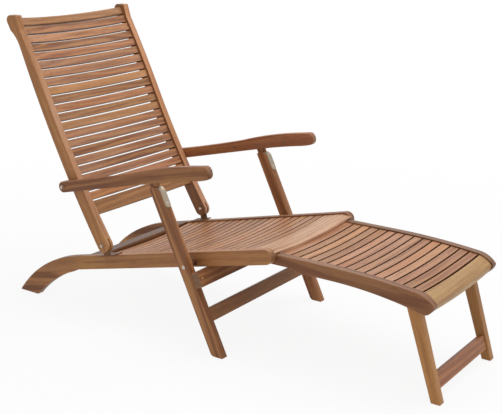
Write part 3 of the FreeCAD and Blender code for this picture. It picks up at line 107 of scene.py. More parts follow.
class Bench:
    """A material's node tree, with short calls for the nodes that the finishes use."""

    def __init__(self, name: str) -> None:
        """Starts an empty material.

        Args:
            name: what the material is called.
        """
        self.material = bpy.data.materials.new(name)
        self.material.use_nodes = True
        self.tree = self.material.node_tree
        self.tree.nodes.clear()

    def node(self, kind: str, **settings: object) -> bpy.types.Node:
        """Adds a node.

        Args:
            kind: the node's type, without its ShaderNode prefix.
            settings: properties to set on it.

        Returns:
            The new node.
        """
        made = self.tree.nodes.new("ShaderNode" + kind)
        for key, value in settings.items():
            setattr(made, key, value)
        return made

    def feed(self, socket: bpy.types.NodeSocket, value: object) -> None:
        """Links a socket to another one's output, or sets its own value."""
        if isinstance(value, bpy.types.NodeSocket):
            self.tree.links.new(value, socket)
        else:
            socket.default_value = value

    def math(self, operation: str, *values: object, clamp: bool = False) -> bpy.types.NodeSocket:
        """A Math node's result."""
        made = self.node("Math", operation=operation, use_clamp=clamp)
        for socket, value in zip(made.inputs, values):
            self.feed(socket, value)
        return made.outputs[0]

    def vector(self, operation: str, *values: object) -> bpy.types.NodeSocket:
        """A Vector Math node's vector, or its number for a dot product."""
        made = self.node("VectorMath", operation=operation)
        for socket, value in zip(made.inputs, values):
            self.feed(socket, value)
        return made.outputs["Value" if operation == "DOT_PRODUCT" else "Vector"]

    def noise(self, place: object, stretch: Waves, detail: float, rough: float = 0.5) -> object:
        """Noise between 0 and 1, with its own number of waves to the metre each way.

        Args:
            place: the socket with the point to read.
            stretch: waves to the metre along the grain, across it and through it.
            detail: octaves.
            rough: how much the finer octaves count.

        Returns:
            The noise's socket.
        """
        made = self.node("TexNoise")
        self.feed(made.inputs["Vector"], self.vector("MULTIPLY", place, stretch))
        made.inputs["Scale"].default_value = 1.0
        made.inputs["Detail"].default_value = detail
        made.inputs["Roughness"].default_value = rough
        return made.outputs["Fac"]

    def spread(self, value: object, low: float, high: float) -> bpy.types.NodeSocket:
        """A value's share of the way from low to high, held between 0 and 1."""
        made = self.node("MapRange", clamp=True)
        self.feed(made.inputs["Value"], value)
        made.inputs["From Min"].default_value = low
        made.inputs["From Max"].default_value = high
        return made.outputs["Result"]

    def mix(self, share: object, first: object, second: object, blend: str = "MIX") -> object:
        """A mix of two colours.

        Args:
            share: how much of the second colour, as a number or a socket.
            first: the colour or socket that is mixed into.
            second: the colour or socket that is mixed in.
            blend: how the two are mixed.

        Returns:
            The mixed colour's socket.
        """
        made = self.node("Mix", data_type="RGBA", blend_type=blend)
        self.feed(made.inputs["Factor"], share)
        for name, value in (("A", first), ("B", second)):
            if isinstance(value, tuple):
                value = (*value, 1.0)
            socket = [s for s in made.inputs if s.name == name and s.type == "RGBA"][0]
            self.feed(socket, value)
        return [s for s in made.outputs if s.type == "RGBA"][0]

    def bump(self, height: object, strength: float, distance: float) -> bpy.types.NodeSocket:
        """The normal of a surface raised by a height."""
        made = self.node("Bump")
        self.feed(made.inputs["Height"], height)
        made.inputs["Strength"].default_value = strength
        made.inputs["Distance"].default_value = distance
        return made.outputs["Normal"]

    def finish(self, **sockets: object) -> bpy.types.Material:
        """Ends the tree in a Principled shader.

        Args:
            sockets: the shader's inputs, with underscores for spaces.

        Returns:
            The finished material.
        """
        shader = self.node("BsdfPrincipled")
        for name, value in sockets.items():
            self.feed(shader.inputs[name.replace("_", " ")], value)
        output = self.node("OutputMaterial")
        self.tree.links.new(shader.outputs["BSDF"], output.inputs["Surface"])
        return self.material


@dataclass(frozen=True)
class SlatRow:
    """Where one slat of a row ends and the next begins, across the grain."""

    start: float
    pitch: float


@dataclass(frozen=True)
class Board:
    """How one piece of wood differs from the next.

    The tone multiplies its colour. Golden and rosy are shares of those tints, top_sheen is the
    share of painted sheen that pales the faces turned up, and inner is the way along Y of a face
    with painted shade from the slats, or 0.
    """

    grain: Grain
    tone: float = 1.0
    golden: float = 0.0
    rosy: float = 0.0
    top_sheen: float = 0.5
    row: SlatRow | None = None
    inner: float = 0.0


@dataclass(frozen=True)
class Wood:
    """Oiled hardwood: streaks, rings, pores, a tone for each board, painted sheen and painted
    shade.
    """

    pale: Colour = (0.545, 0.250, 0.090)
    middle: Colour = (0.385, 0.147, 0.045)
    deep: Colour = (0.165, 0.051, 0.014)
    rosy: Colour = (0.410, 0.158, 0.074)
    golden: Colour = (0.535, 0.262, 0.074)
    # painted_sheen is the paler colour that the faces turned up are mixed towards, as painted
    # sheen.
    painted_sheen: Colour = (0.540, 0.300, 0.188)
    end_grain: Colour = (0.205, 0.110, 0.060)
    # painted_shade is a dark colour painted on the sides of slats in a row and on a stile's face
    # behind the slats, as shade.
    painted_shade: Colour = (0.085, 0.030, 0.011)
    tone_spread: float = 0.34
    roughness: float = 0.44
    shine: float = 0.34
    drift_waves: Waves = (1.6, 16.0, 16.0)
    drift_reach: Point = (0.0, 0.034, 0.034)
    streak_waves: Waves = (3.0, 120.0, 120.0)
    ring_waves: Waves = (0.02, 30.0, 19.0)
    ring_distortion: float = 2.6
    pore_waves: Waves = (26.0, 780.0, 780.0)
    cloud_waves: Waves = (2.2, 9.0, 9.0)
    gum_waves: Waves = (2.0, 66.0, 66.0)
    patch_waves: Waves = (5.0, 14.0, 14.0)
    bump_strength: float = 0.34
    bump_distance: float = 0.0006

    def material(self, name: str, board: Board, seed: float) -> bpy.types.Material:
        """Makes the material of one piece, or of a row of slats.

        Args:
            name: what the material is called.
            board: the piece's grain, tone and tints.
            seed: a number that tells this board from the others.

        Returns:
            The material.
        """
        bench = Bench(name)
        grain = board.grain
        lay = bench.node("Mapping")
        lay.inputs["Rotation"].default_value = grain.turn
        where = bench.node("TexCoord")
        bench.feed(lay.inputs["Vector"], where.outputs["Object"])
        placed = lay.outputs["Vector"]

        own, chance, tint, second = self.cut_from_its_own_plank(bench, board, placed, seed)
        drift = bench.noise(own, self.drift_waves, 2.0)
        wander = bench.vector("MULTIPLY_ADD", drift, self.drift_reach, own)
        streaks = bench.noise(wander, self.streak_waves, 4.0, 0.64)
        rings = bench.node("TexWave", wave_type="BANDS", bands_direction="DIAGONAL")
        bench.feed(rings.inputs["Vector"], bench.vector("MULTIPLY", wander, self.ring_waves))
        rings.inputs["Scale"].default_value = 1.0
        rings.inputs["Distortion"].default_value = self.ring_distortion
        rings.inputs["Detail"].default_value = 2.0
        pores = bench.noise(own, self.pore_waves, 2.0, 0.6)
        clouds = bench.noise(own, self.cloud_waves, 2.0)
        gum = bench.spread(bench.noise(wander, self.gum_waves, 2.0), 0.57, 0.70)
        patches = bench.noise(own, self.patch_waves, 2.0)

        figure = bench.math("MULTIPLY_ADD", rings.outputs["Fac"], 0.36, 0.0)
        figure = bench.math("MULTIPLY_ADD", streaks, 0.92, figure)
        figure = bench.math("MULTIPLY_ADD", clouds, 0.30, figure)
        figure = bench.spread(figure, 0.46, 1.10)
        colour = bench.mix(figure, self.deep, self.middle)
        colour = bench.mix(bench.spread(figure, 0.42, 0.95), colour, self.pale)
        pink = bench.math("MULTIPLY_ADD", tint, 0.55, board.rosy, clamp=True)
        colour = bench.mix(pink, colour, self.rosy)
        golden = bench.math("MULTIPLY", bench.spread(second, 0.60, 1.0), 0.60)
        golden = bench.math("ADD", golden, board.golden)
        patches = bench.spread(patches, 0.54, 0.70)
        golden = bench.math("MULTIPLY_ADD", patches, 0.34, golden, clamp=True)
        colour = bench.mix(golden, colour, self.golden)

        # Painted sheen: faces turned up are mixed in blotches towards the paler colour.
        facing = bench.vector("DOT_PRODUCT", where.outputs["Normal"], grain.upward_side)
        sky = bench.math("MULTIPLY", bench.spread(facing, 0.55, 0.95), board.top_sheen)
        painted_sheen_share = bench.math("MULTIPLY", sky, bench.spread(clouds, 0.30, 0.75))
        colour = bench.mix(painted_sheen_share, colour, self.painted_sheen)
        colour = bench.mix(bench.math("MULTIPLY", gum, 0.50), colour, self.deep)
        colour = bench.mix(bench.spread(pores, 0.55, 0.80), colour, self.deep)

        darkest = board.tone - self.tone_spread / 2
        shade = bench.math("MULTIPLY_ADD", chance, self.tone_spread, darkest)
        lit = bench.node("CombineXYZ")
        for socket in lit.inputs:
            bench.feed(socket, shade)
        colour = bench.mix(1.0, colour, lit.outputs[0], "MULTIPLY")
        colour = self.darken_by_face(bench, board, where.outputs["Normal"], colour)

        rough = bench.math("MULTIPLY_ADD", streaks, 0.24, self.roughness - 0.10)
        height = bench.math("MULTIPLY_ADD", pores, -1.0, bench.math("MULTIPLY", streaks, -0.6))
        return bench.finish(
            Base_Color=colour,
            Roughness=rough,
            Normal=bench.bump(height, self.bump_strength, self.bump_distance),
            Specular_IOR_Level=self.shine,
        )

    @staticmethod
    def cut_from_its_own_plank(
        bench: Bench, board: Board, placed: bpy.types.NodeSocket, seed: float
    ) -> tuple[bpy.types.NodeSocket, ...]:
        """Gives every board or slat its own place in the wood, and its own chances.

        Args:
            bench: the material at work.
            board: the piece.
            placed: the point in the piece, with its grain along X.
            seed: a number that tells this board from the others.

        Returns:
            The point in the plank, and three chances between 0 and 1.
        """
        number = bench.node("TexWhiteNoise", noise_dimensions="1D")
        if board.row is None:
            number.inputs["W"].default_value = seed
        else:
            split = bench.node("SeparateXYZ")
            bench.feed(split.inputs[0], placed)
            steps = bench.math("SUBTRACT", split.outputs["Y"], board.row.start)
            steps = bench.math("FLOOR", bench.math("DIVIDE", steps, board.row.pitch))
            bench.feed(number.inputs["W"], bench.math("ADD", steps, seed))
        own = bench.vector("MULTIPLY_ADD", number.outputs["Color"], (3.1, 3.7, 2.3), placed)
        chances = bench.node("SeparateXYZ")
        bench.feed(chances.inputs[0], number.outputs["Color"])
        return own, number.outputs["Value"], chances.outputs["X"], chances.outputs["Y"]

    def darken_by_face(
        self,
        bench: Bench,
        board: Board,
        normal: bpy.types.NodeSocket,
        colour: bpy.types.NodeSocket,
    ) -> bpy.types.NodeSocket:
        """Darkens end grain, and paints shade on the sides of slats in a row and on a stile's face
        behind the slats.

        Args:
            bench: the material at work.
            board: the piece.
            normal: the way that the surface looks.
            colour: the wood's colour so far.

        Returns:
            The colour with the darker end grain and the painted shade.
        """
        end = bench.math("ABSOLUTE", bench.vector("DOT_PRODUCT", normal, board.grain.fibre))
        end = bench.math("MULTIPLY", bench.spread(end, 0.70, 0.95), 0.70)
        colour = bench.mix(end, colour, self.end_grain)
        if board.row is not None:
            # Painted shade: the sides of the slats, in the gaps between them, are mixed towards
            # the dark colour.
            side = bench.math("ABSOLUTE", bench.vector("DOT_PRODUCT", normal, board.grain.way))
            side = bench.math("MULTIPLY", bench.spread(side, 0.55, 0.85), 0.88)
            colour = bench.mix(side, colour, self.painted_shade)
        if board.inner:
            # Painted shade: the stile's face behind the slats is mixed towards the dark colour.
            inside = bench.vector("DOT_PRODUCT", normal, (0.0, board.inner, 0.0))
            inside = bench.math("MULTIPLY", bench.spread(inside, 0.75, 0.95), 0.60)
            colour = bench.mix(inside, colour, self.painted_shade)
        return colour


PALE_WOOD = Wood(
    pale=(0.66, 0.41, 0.255),
    middle=(0.53, 0.29, 0.165),
    deep=(0.34, 0.155, 0.075),
    rosy=(0.56, 0.32, 0.205),
    golden=(0.62, 0.38, 0.20),
    painted_sheen=(0.64, 0.41, 0.27),
    tone_spread=0.1,
)
GOLDEN_WOOD = Wood(
    pale=(0.64, 0.40, 0.17),
    middle=(0.50, 0.27, 0.10),
    deep=(0.30, 0.13, 0.045),
    rosy=(0.52, 0.28, 0.13),
    golden=(0.62, 0.395, 0.155),
    painted_sheen=(0.60, 0.37, 0.20),
    tone_spread=0.1,
)


@dataclass(frozen=True)
class Hardware:
    """Metal of the hinges and fastenings, with fine rubbing marks and a few dull spots."""

    metal: Metal = Metal.BOLT

    def material(self, name: str) -> bpy.types.Material:
        """Makes the metal's material.

        Args:
            name: what the material is called.

        Returns:
            The material.
        """
        colour, rough = self.metal.value
        bench = Bench(name)
        place = bench.node("TexCoord").outputs["Object"]
        rubbed = bench.noise(place, (190.0, 900.0, 190.0), 3.0, 0.6)
        spots = bench.spread(bench.noise(place, (70.0, 70.0, 70.0), 3.0), 0.52, 0.74)
        dull = tuple(0.55 * part for part in colour)
        return bench.finish(
            Base_Color=bench.mix(bench.math("MULTIPLY", spots, 0.5), colour, dull),
            Metallic=1.0,
            Roughness=bench.math("MULTIPLY_ADD", rubbed, 0.28, rough - 0.08),
            Normal=bench.bump(rubbed, 0.12, 0.0002),
        )


@dataclass
class Workpiece:
    """One solid piece under the maker's hands, cut and shaped in edit mode."""

    piece: bpy.types.Object

    @classmethod
    def like_node(cls, node: str, name: str) -> "Workpiece":
        """Starts from a node's shape, with its loose triangles sewn together.

        Args:
            node: the frame's node.
            name: what the new piece is called.

        Returns:
            The new piece.
        """
        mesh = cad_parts[node].data.copy()
        mesh.name = name
        mesh.materials.clear()
        piece = bpy.data.objects.new(name, mesh)
        bpy.context.scene.collection.objects.link(piece)
        made = cls(piece)
        made.take_up()
        bpy.ops.object.mode_set(mode="EDIT")
        bpy.ops.mesh.select_all(action="SELECT")
        bpy.ops.mesh.remove_doubles(threshold=SEWN_WITHIN)
        bpy.ops.object.mode_set(mode="OBJECT")
        return made

    def take_up(self) -> None:
        """Selects this piece alone."""
        bpy.ops.object.select_all(action="DESELECT")
        bpy.context.view_layer.objects.active = self.piece
        self.piece.select_set(True)

    def cut_at(self, *stations: tuple[Point, Point]) -> "Workpiece":
        """Scores the piece along planes, so that it can bend there.

        Args:
            stations: each plane's point and normal.

        Returns:
            The piece.
        """
        self.take_up()
        bpy.ops.object.mode_set(mode="EDIT")
        for point, normal in stations:
            bpy.ops.mesh.select_all(action="SELECT")
            bpy.ops.mesh.bisect(plane_co=point, plane_no=normal)
        bpy.ops.object.mode_set(mode="OBJECT")
        return self

    def pick(self, wanted: Callable[[Vector], bool]) -> None:
        """Selects the points that a test wants, and nothing else."""
        mesh = self.piece.data
        for thing in (mesh.polygons, mesh.edges):
            thing.foreach_set("select", [False] * len(thing))
        chosen = [bool(wanted(vertex.co)) for vertex in mesh.vertices]
        mesh.vertices.foreach_set("select", chosen)

    def move(self, wanted: Callable[[Vector], bool], way: Point) -> "Workpiece":
        """Moves the wanted points."""
        self.pick(wanted)
        self.take_up()
        bpy.ops.object.mode_set(mode="EDIT")
        bpy.ops.mesh.select_mode(type="VERT")
        bpy.ops.transform.translate(value=way)
        bpy.ops.object.mode_set(mode="OBJECT")
        return self

    def squeeze(
        self, wanted: Callable[[Vector], bool], factors: Point, centre: Point
    ) -> "Workpiece":
        """Scales the wanted points about a centre."""
        self.pick(wanted)
        self.take_up()
        bpy.ops.object.mode_set(mode="EDIT")
        bpy.ops.mesh.select_mode(type="VERT")
        bpy.ops.transform.resize(value=factors, center_override=centre)
        bpy.ops.object.mode_set(mode="OBJECT")
        return self

    def finish(self, smooth_below: float = 32.0) -> bpy.types.Object:
        """Smooths the round parts and returns the finished piece."""
        self.take_up()
        bpy.ops.object.shade_smooth_by_angle(angle=math.radians(smooth_below))
        return self.piece


@dataclass
class Dressing:
    """Gives the frame's nodes and the new pieces their finishes."""

    wood: Wood = field(default_factory=Wood)
    done: set[str] = field(default_factory=set)
    first_seed: float = 11.0
    seed_step: float = 7.3

    def put(self, node: str, material: bpy.types.Material) -> None:
        """Puts one material on a node of the frame."""
        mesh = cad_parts[node].data
        mesh.materials.clear()
        mesh.materials.append(material)
        self.done.add(node)

    def board(self, node: str, board: Board) -> None:
        """Dresses one wooden node."""
        self.put(node, self.wood.material(node + "_wood", board, self.seed()))

    def seed(self) -> float:
        """A number for the next board."""
        return self.first_seed + self.seed_step * len(self.done)

    def pair(self, node: str, board: Board) -> None:
        """Dresses a left and a right board."""
        for side in ("left", "right"):
            self.board(node + "_" + side, board)

    def metal(self, metal: Metal, *nodes: str) -> None:
        """Dresses metal nodes with one finish."""
        material = Hardware(metal).material(metal.name.lower() + "_hardware")
        for node in nodes:
            self.put(node, material)

    def stand_in(
        self,
        piece: bpy.types.Object,
        node: str,
        body: str,
        material: bpy.types.Material,
    ) -> None:
        """Lets a new piece stand for a node.

        Args:
            piece: the new piece.
            node: the node that it replaces.
            body: the body that it moves with.
            material: its finish.
        """
        piece.data.materials.clear()
        piece.data.materials.append(material)
        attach(piece, body)
        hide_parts(node)
        self.done.add(node)


@dataclass
class WoodScrew:
    """A wood screw with an oval head and a cross recess, its head's face at its origin."""

    head_radius: float = 0.0038
    head_height: float = 0.0022
    crown: float = 0.0006
    shank_radius: float = 0.0020
    length: float = 0.020
    recess_length: float = 0.0046
    recess_width: float = 0.0010
    recess_depth: float = 0.0015
    cutter_height: float = 0.002
    rim: float = 0.0003
    tip_length: float = 0.004
    tip_taper: float = 0.12
    crown_steps: tuple[tuple[float, float], ...] = ((0.35, 0.8), (0.35, 0.2))
    first_twist: float = 0.5
    twist_step: float = 0.9
    smooth_below: float = 30.0
    sides: int = 24

    def model(self, name: str) -> bpy.types.Object:
        """Models one screw that points down from the origin.

        Args:
            name: what it is called.

        Returns:
            The screw.
        """
        bpy.ops.object.select_all(action="DESELECT")
        bpy.ops.mesh.primitive_circle_add(
            vertices=self.sides,
            radius=self.head_radius,
            fill_type="NGON",
            location=(0.0, 0.0, 0.0),
        )
        screw = bpy.context.object
        screw.name = name
        bpy.ops.object.mode_set(mode="EDIT")
        bpy.ops.mesh.select_all(action="SELECT")
        self.draw_out(-self.rim, 1.0)
        self.draw_out(-(self.head_height - self.rim), self.shank_radius / self.head_radius)
        self.draw_out(-(self.length - self.head_height - self.tip_length), 1.0)
        self.draw_out(-self.tip_length, self.tip_taper)
        bpy.ops.object.mode_set(mode="OBJECT")
        self.cap(screw)
        self.recess(screw)
        return screw

    @staticmethod
    def draw_out(drop: float, taper: float) -> None:
        """Extrudes the selected face down, and scales it."""
        bpy.ops.mesh.extrude_region_move(TRANSFORM_OT_translate={"value": (0.0, 0.0, drop)})
        bpy.ops.transform.resize(value=(taper, taper, 1.0))

    def cap(self, screw: bpy.types.Object) -> None:
        """Closes the open ring at the head with a low crown."""
        mesh = screw.data
        bpy.ops.object.mode_set(mode="EDIT")
        bpy.ops.mesh.select_mode(type="VERT")
        bpy.ops.mesh.select_all(action="DESELECT")
        bpy.ops.object.mode_set(mode="OBJECT")
        for vertex in mesh.vertices:
            vertex.select = vertex.co.z > -HAIR
        bpy.ops.object.mode_set(mode="EDIT")
        bpy.ops.mesh.edge_face_add()
        for inward, rise in self.crown_steps:
            bpy.ops.mesh.inset(thickness=self.head_radius * inward, depth=self.crown * rise)
        bpy.ops.mesh.select_all(action="SELECT")
        bpy.ops.mesh.normals_make_consistent(inside=False)
        bpy.ops.object.mode_set(mode="OBJECT")

    def recess(self, screw: bpy.types.Object) -> None:
        """Cuts the cross into the head."""
        height = self.crown + self.cutter_height / 2 - self.recess_depth
        for turn in (0.0, math.pi / 2):
            bpy.ops.mesh.primitive_cube_add(
                size=1.0,
                location=(0.0, 0.0, height),
                rotation=(0.0, 0.0, turn),
                scale=(self.recess_length, self.recess_width, self.cutter_height),
            )
            cutter = bpy.context.object
            bpy.ops.object.transform_apply(location=True, rotation=True, scale=True)
            bpy.ops.object.select_all(action="DESELECT")
            bpy.context.view_layer.objects.active = screw
            screw.select_set(True)
            cross = screw.modifiers.new("cross", "BOOLEAN")
            cross.operation = "DIFFERENCE"
            cross.solver = "EXACT"
            cross.object = cutter
            bpy.ops.object.modifier_apply(modifier="cross")
            bpy.data.objects.remove(cutter)

    def drive(self, name: str, places: tuple[tuple[Point, Point], ...]) -> bpy.types.Object:
        """Drives one screw in at each place, as one piece.

        Args:
            name: what the piece is called.
            places: the middle of each head, and the way that its point goes.

        Returns:
            The piece.
        """
        pattern = self.model(name)
        copies = []
        for number, (place, way) in enumerate(places):
            mesh = pattern.data.copy()
            turn = Vector((0.0, 0.0, -1.0)).rotation_difference(Vector(way))
            twist = Matrix.Rotation(self.first_twist + self.twist_step * number, 4, "Z")
            mesh.transform(Matrix.Translation(place) @ turn.to_matrix().to_4x4() @ twist)
            copy = bpy.data.objects.new(name + "_%d" % number, mesh)
            bpy.context.scene.collection.objects.link(copy)
            copies.append(copy)
        bpy.data.objects.remove(pattern)
        bpy.ops.object.select_all(action="DESELECT")
        for copy in copies:
            copy.select_set(True)
        bpy.context.view_layer.objects.active = copies[0]
        bpy.ops.object.join()
        screws = bpy.context.object
        screws.name = name
        return Workpiece(screws).finish(self.smooth_below)


def both_sides(place: Point, way: Point) -> tuple[tuple[Point, Point], ...]:
    """A place and a direction on the right side, and their mirror images on the left."""
    mirrored = ((place[0], -place[1], place[2]), (way[0], -way[1], way[2]))
    return (place, way), mirrored


def row_of(node: str, grain: Grain, pitch: float, gap: float) -> SlatRow:
    """Finds where a node's row of slats starts.

    Args:
        node: the row's node.
        grain: the row's grain.
        pitch: slat to slat.
        gap: the gap between two slats.

    Returns:
        The row.
    """
    turned = Matrix.Rotation(grain.turn[2], 3, "Z") @ Matrix.Rotation(grain.turn[1], 3, "Y")
    lowest = min((turned @ vertex.co).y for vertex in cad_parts[node].data.vertices)
    return SlatRow(lowest - gap / 2, pitch)


@dataclass
class SeatFrame:
    """Seat rails on their curved rear feet, with the seat's slats between them."""

    slat_pitch: float = 0.030
    slat_gap: float = 0.005
    lip_drop: float = 0.0055
    lip_stations: tuple[float, ...] = (0.1850, 0.1815, 0.16, 0.12, 0.06, 0.0)
    lip_reaches: tuple[float, ...] = (0.1848, 0.1810)
    lip_rear: float = 0.250
    lip_height: float = 0.004
    lip_window: float = 0.012

    def dress(self, dressing: Dressing) -> None:
        """Puts wood and metal on the seat frame."""
        dressing.pair("seat_rail", Board(Grain.SEAT, 0.74, golden=0.05, top_sheen=0.9))
        dressing.pair("rear_foot_block", Board(Grain.SEAT, 1.02, golden=0.05))
        # Painted shade: the rear cross rail's low tone of 0.46 darkens it for the shade that it
        # lies in under the back.
        dressing.board("rear_cross_rail", Board(Grain.SEAT_ACROSS, 0.46, top_sheen=0.1))
        row = row_of("seat_slats", Grain.SEAT_ACROSS, self.slat_pitch, self.slat_gap)
        dressing.board("seat_slats", Board(Grain.SEAT_ACROSS, 1.02, top_sheen=0.8, row=row))
        self.carve_nose_rail(dressing)
        dressing.metal(Metal.BRONZE, "back_hinge_bracket_left", "back_hinge_bracket_right")

    def carve_nose_rail(self, dressing: Dressing) -> None:
        """Lets the front lip of the nose rail hang lower between the footrest's rails."""
        name = "seat_nose_rail_with_lip"
        rail = Workpiece.like_node("seat_nose_rail", name)
        planes = []
        for station in self.lip_stations:
            planes += [((0.0, side * station, 0.0), (0.0, 1.0, 0.0)) for side in (1.0, -1.0)]
        rail.cut_at(*planes)
        for reach in self.lip_reaches:
            rail.move(
                lambda p, reach=reach: p.x > self.lip_rear
                and abs(p.y) < reach
                and p.z < self.lowest_near(rail.piece, abs(p.y)) + self.lip_height,
                (0.0, 0.0, -self.lip_drop / 2),
            )
        board = Board(Grain.SEAT_ACROSS, 1.06, top_sheen=0.9)
        finish = PALE_WOOD.material(name + "_wood", board, dressing.seed())
        dressing.stand_in(rail.finish(), "seat_nose_rail", "seat_frame", finish)

    def lowest_near(self, piece: bpy.types.Object, across: float) -> float:
        """The lowest point of the lip, a given way from the chair's middle."""
        near = [
            v.co.z
            for v in piece.data.vertices
            if v.co.x > self.lip_rear and abs(abs(v.co.y) - across) < self.lip_window
        ]
        return min(near)


@dataclass
class Back:
    """Bowed stiles with twenty dished slats between a top and a bottom rail."""

    slat_pitch: float = 0.0295
    slat_gap: float = 0.005

    def dress(self, dressing: Dressing) -> None:
        """Puts wood and metal on the back."""
        left = Board(Grain.STILE, 1.06, golden=0.2, top_sheen=0.9, inner=-1.0)
        right = Board(Grain.STILE, 0.90, golden=0.1, top_sheen=0.8, inner=1.0)
        dressing.board("back_stile_left", left)
        dressing.board("back_stile_right", right)
        dressing.board("back_top_rail", Board(Grain.BACK_ACROSS, 0.95, golden=0.35))
        lower = Board(Grain.BACK_ACROSS, 0.95, golden=0.35, top_sheen=0.2)
        dressing.board("back_bottom_rail", lower)
        row = row_of("back_slats", Grain.BACK_ACROSS, self.slat_pitch, self.slat_gap)
        dressing.board("back_slats", Board(Grain.BACK_ACROSS, 1.0, top_sheen=0.6, row=row))


@dataclass
class Armrests:
    """Two arched arms, grooved underneath, whose noses taper in plan."""

    middle_y: float = 0.2775
    middle_height: float = 0.545
    shorten_from: float = 0.040
    shorten_to: float = 0.82
    nose_stations: tuple[float, ...] = (0.046, 0.055, 0.063, 0.070, 0.076, 0.081, 0.0855)
    nose_tapers: tuple[float, ...] = (1.0, 0.965, 0.945, 0.92, 0.89, 0.85, 0.78)
    nose_low: float = 0.540
    nose_fall: float = 0.75

    def dress(self, dressing: Dressing) -> None:
        """Shapes the arms, and puts metal on their pins."""
        for side, way in (("left", 1.0), ("right", -1.0)):
            self.carve(dressing, side, way)
        dressing.metal(Metal.DULL, "armrest_pins_left", "armrest_pins_right")

    def carve(self, dressing: Dressing, side: str, way: float) -> None:
        """Carves one arm's nose.

        Args:
            dressing: what gives it its finish.
            side: left or right.
            way: 1 for the left side, -1 for the right.
        """
        node = "armrest_" + side
        name = node + "_carved"
        arm = Workpiece.like_node(node, name)
        centre = (self.shorten_from, way * self.middle_y, self.middle_height)
        arm.cut_at((centre, (1.0, 0.0, 0.0)))
        shorter = (self.shorten_to, 1.0, 1.0)
        arm.squeeze(lambda p: p.x > self.shorten_from + HAIR, shorter, centre)
        arm.cut_at(*[((x, 0.0, 0.0), (1.0, 0.0, 0.0)) for x in self.nose_stations])
        low = (self.shorten_from, way * self.middle_y, self.nose_low)
        for station, taper in zip(self.nose_stations, self.nose_tapers):
            thinner = (1.0, taper, 1.0 - (1.0 - taper) * self.nose_fall)
            arm.squeeze(lambda p, station=station: p.x > station + HAIR, thinner, low)
        board = Board(Grain.ARM, 0.84, rosy=0.15, top_sheen=0.3)
        finish = dressing.wood.material(name + "_wood", board, dressing.seed())
        dressing.stand_in(arm.finish(), node, node, finish)


@dataclass
class FrontLegs:
    """The crossed front legs, their stretcher, stop bar and straps."""

    strap_screw_heads: Point = (-0.07965, -0.2775, 0.4377)
    bar_screw_heads: Point = (0.04765, -0.2775, 0.2307)
    inward: Point = (-0.9011, 0.0, -0.4337)
    strap_screw_length: float = 0.020
    bar_screw_length: float = 0.045

    def dress(self, dressing: Dressing) -> None:
        """Puts wood and metal on the front legs, and drives their screws."""
        dressing.pair("front_leg", Board(Grain.LEG, 0.94, golden=0.05, top_sheen=0.0))
        dressing.board("front_stretcher", Board(Grain.LEG_ACROSS, 0.52, top_sheen=0.0))
        dressing.board("stop_bar", Board(Grain.LEG_ACROSS, 0.75, top_sheen=0.0))
        dressing.metal(Metal.STRAP, "leg_strap_left", "leg_strap_right")
        for node, place, length, metal in (
            ("leg_strap_screws", self.strap_screw_heads, self.strap_screw_length, Metal.BOLT),
            ("stop_bar_screws", self.bar_screw_heads, self.bar_screw_length, Metal.BRASS),
        ):
            heads = both_sides(place, self.inward)
            screws = WoodScrew(length=length).drive(node + "_driven", heads)
            finish = Hardware(metal).material(node + "_metal")
            dressing.stand_in(screws, node, "front_legs", finish)


@dataclass
class Footrest:
    """The footrest's rails, slats and crowned nose rail."""

    slat_pitch: float = 0.0296
    slat_gap: float = 0.005
    first_slat_front: float = 0.2735
    reach_back: Point = (-0.0105, 0.0, 0.0007)

    def dress(self, dressing: Dressing) -> None:
        """Puts wood on the footrest, and widens its first slat."""
        dressing.pair("footrest_rail", Board(Grain.FOOTREST, 0.66, rosy=0.10, top_sheen=0.9))
        golden_board = Board(Grain.FOOTREST_ACROSS, 0.84, golden=0.4, top_sheen=0.3)
        finish = GOLDEN_WOOD.material("footrest_nose_rail_wood", golden_board, dressing.seed())
        dressing.put("footrest_nose_rail", finish)
        row = row_of("footrest_slats", Grain.FOOTREST_ACROSS, self.slat_pitch, self.slat_gap)
        name = "footrest_slats_with_wide_first"
        slats = Workpiece.like_node("footrest_slats", name)
        slats.move(lambda p: p.x < self.first_slat_front, self.reach_back)
        board = Board(Grain.FOOTREST_ACROSS, 1.02, rosy=0.2, top_sheen=0.8, row=row)
        finish = dressing.wood.material(name + "_wood", board, dressing.seed())
        dressing.stand_in(slats.finish(), "footrest_slats", "footrest", finish)


@dataclass
class FootrestLegs:
    """The short legs under the footrest, with their stretcher."""

    def dress(self, dressing: Dressing) -> None:
        """Puts wood on the footrest's legs."""
        dressing.pair("footrest_leg", Board(Grain.FOOTREST_LEG, 0.94, golden=0.05, top_sheen=0.0))
        stretcher = Board(Grain.FOOTREST_LEG_ACROSS, 0.92, top_sheen=0.0)
        dressing.board("footrest_leg_stretcher", stretcher)


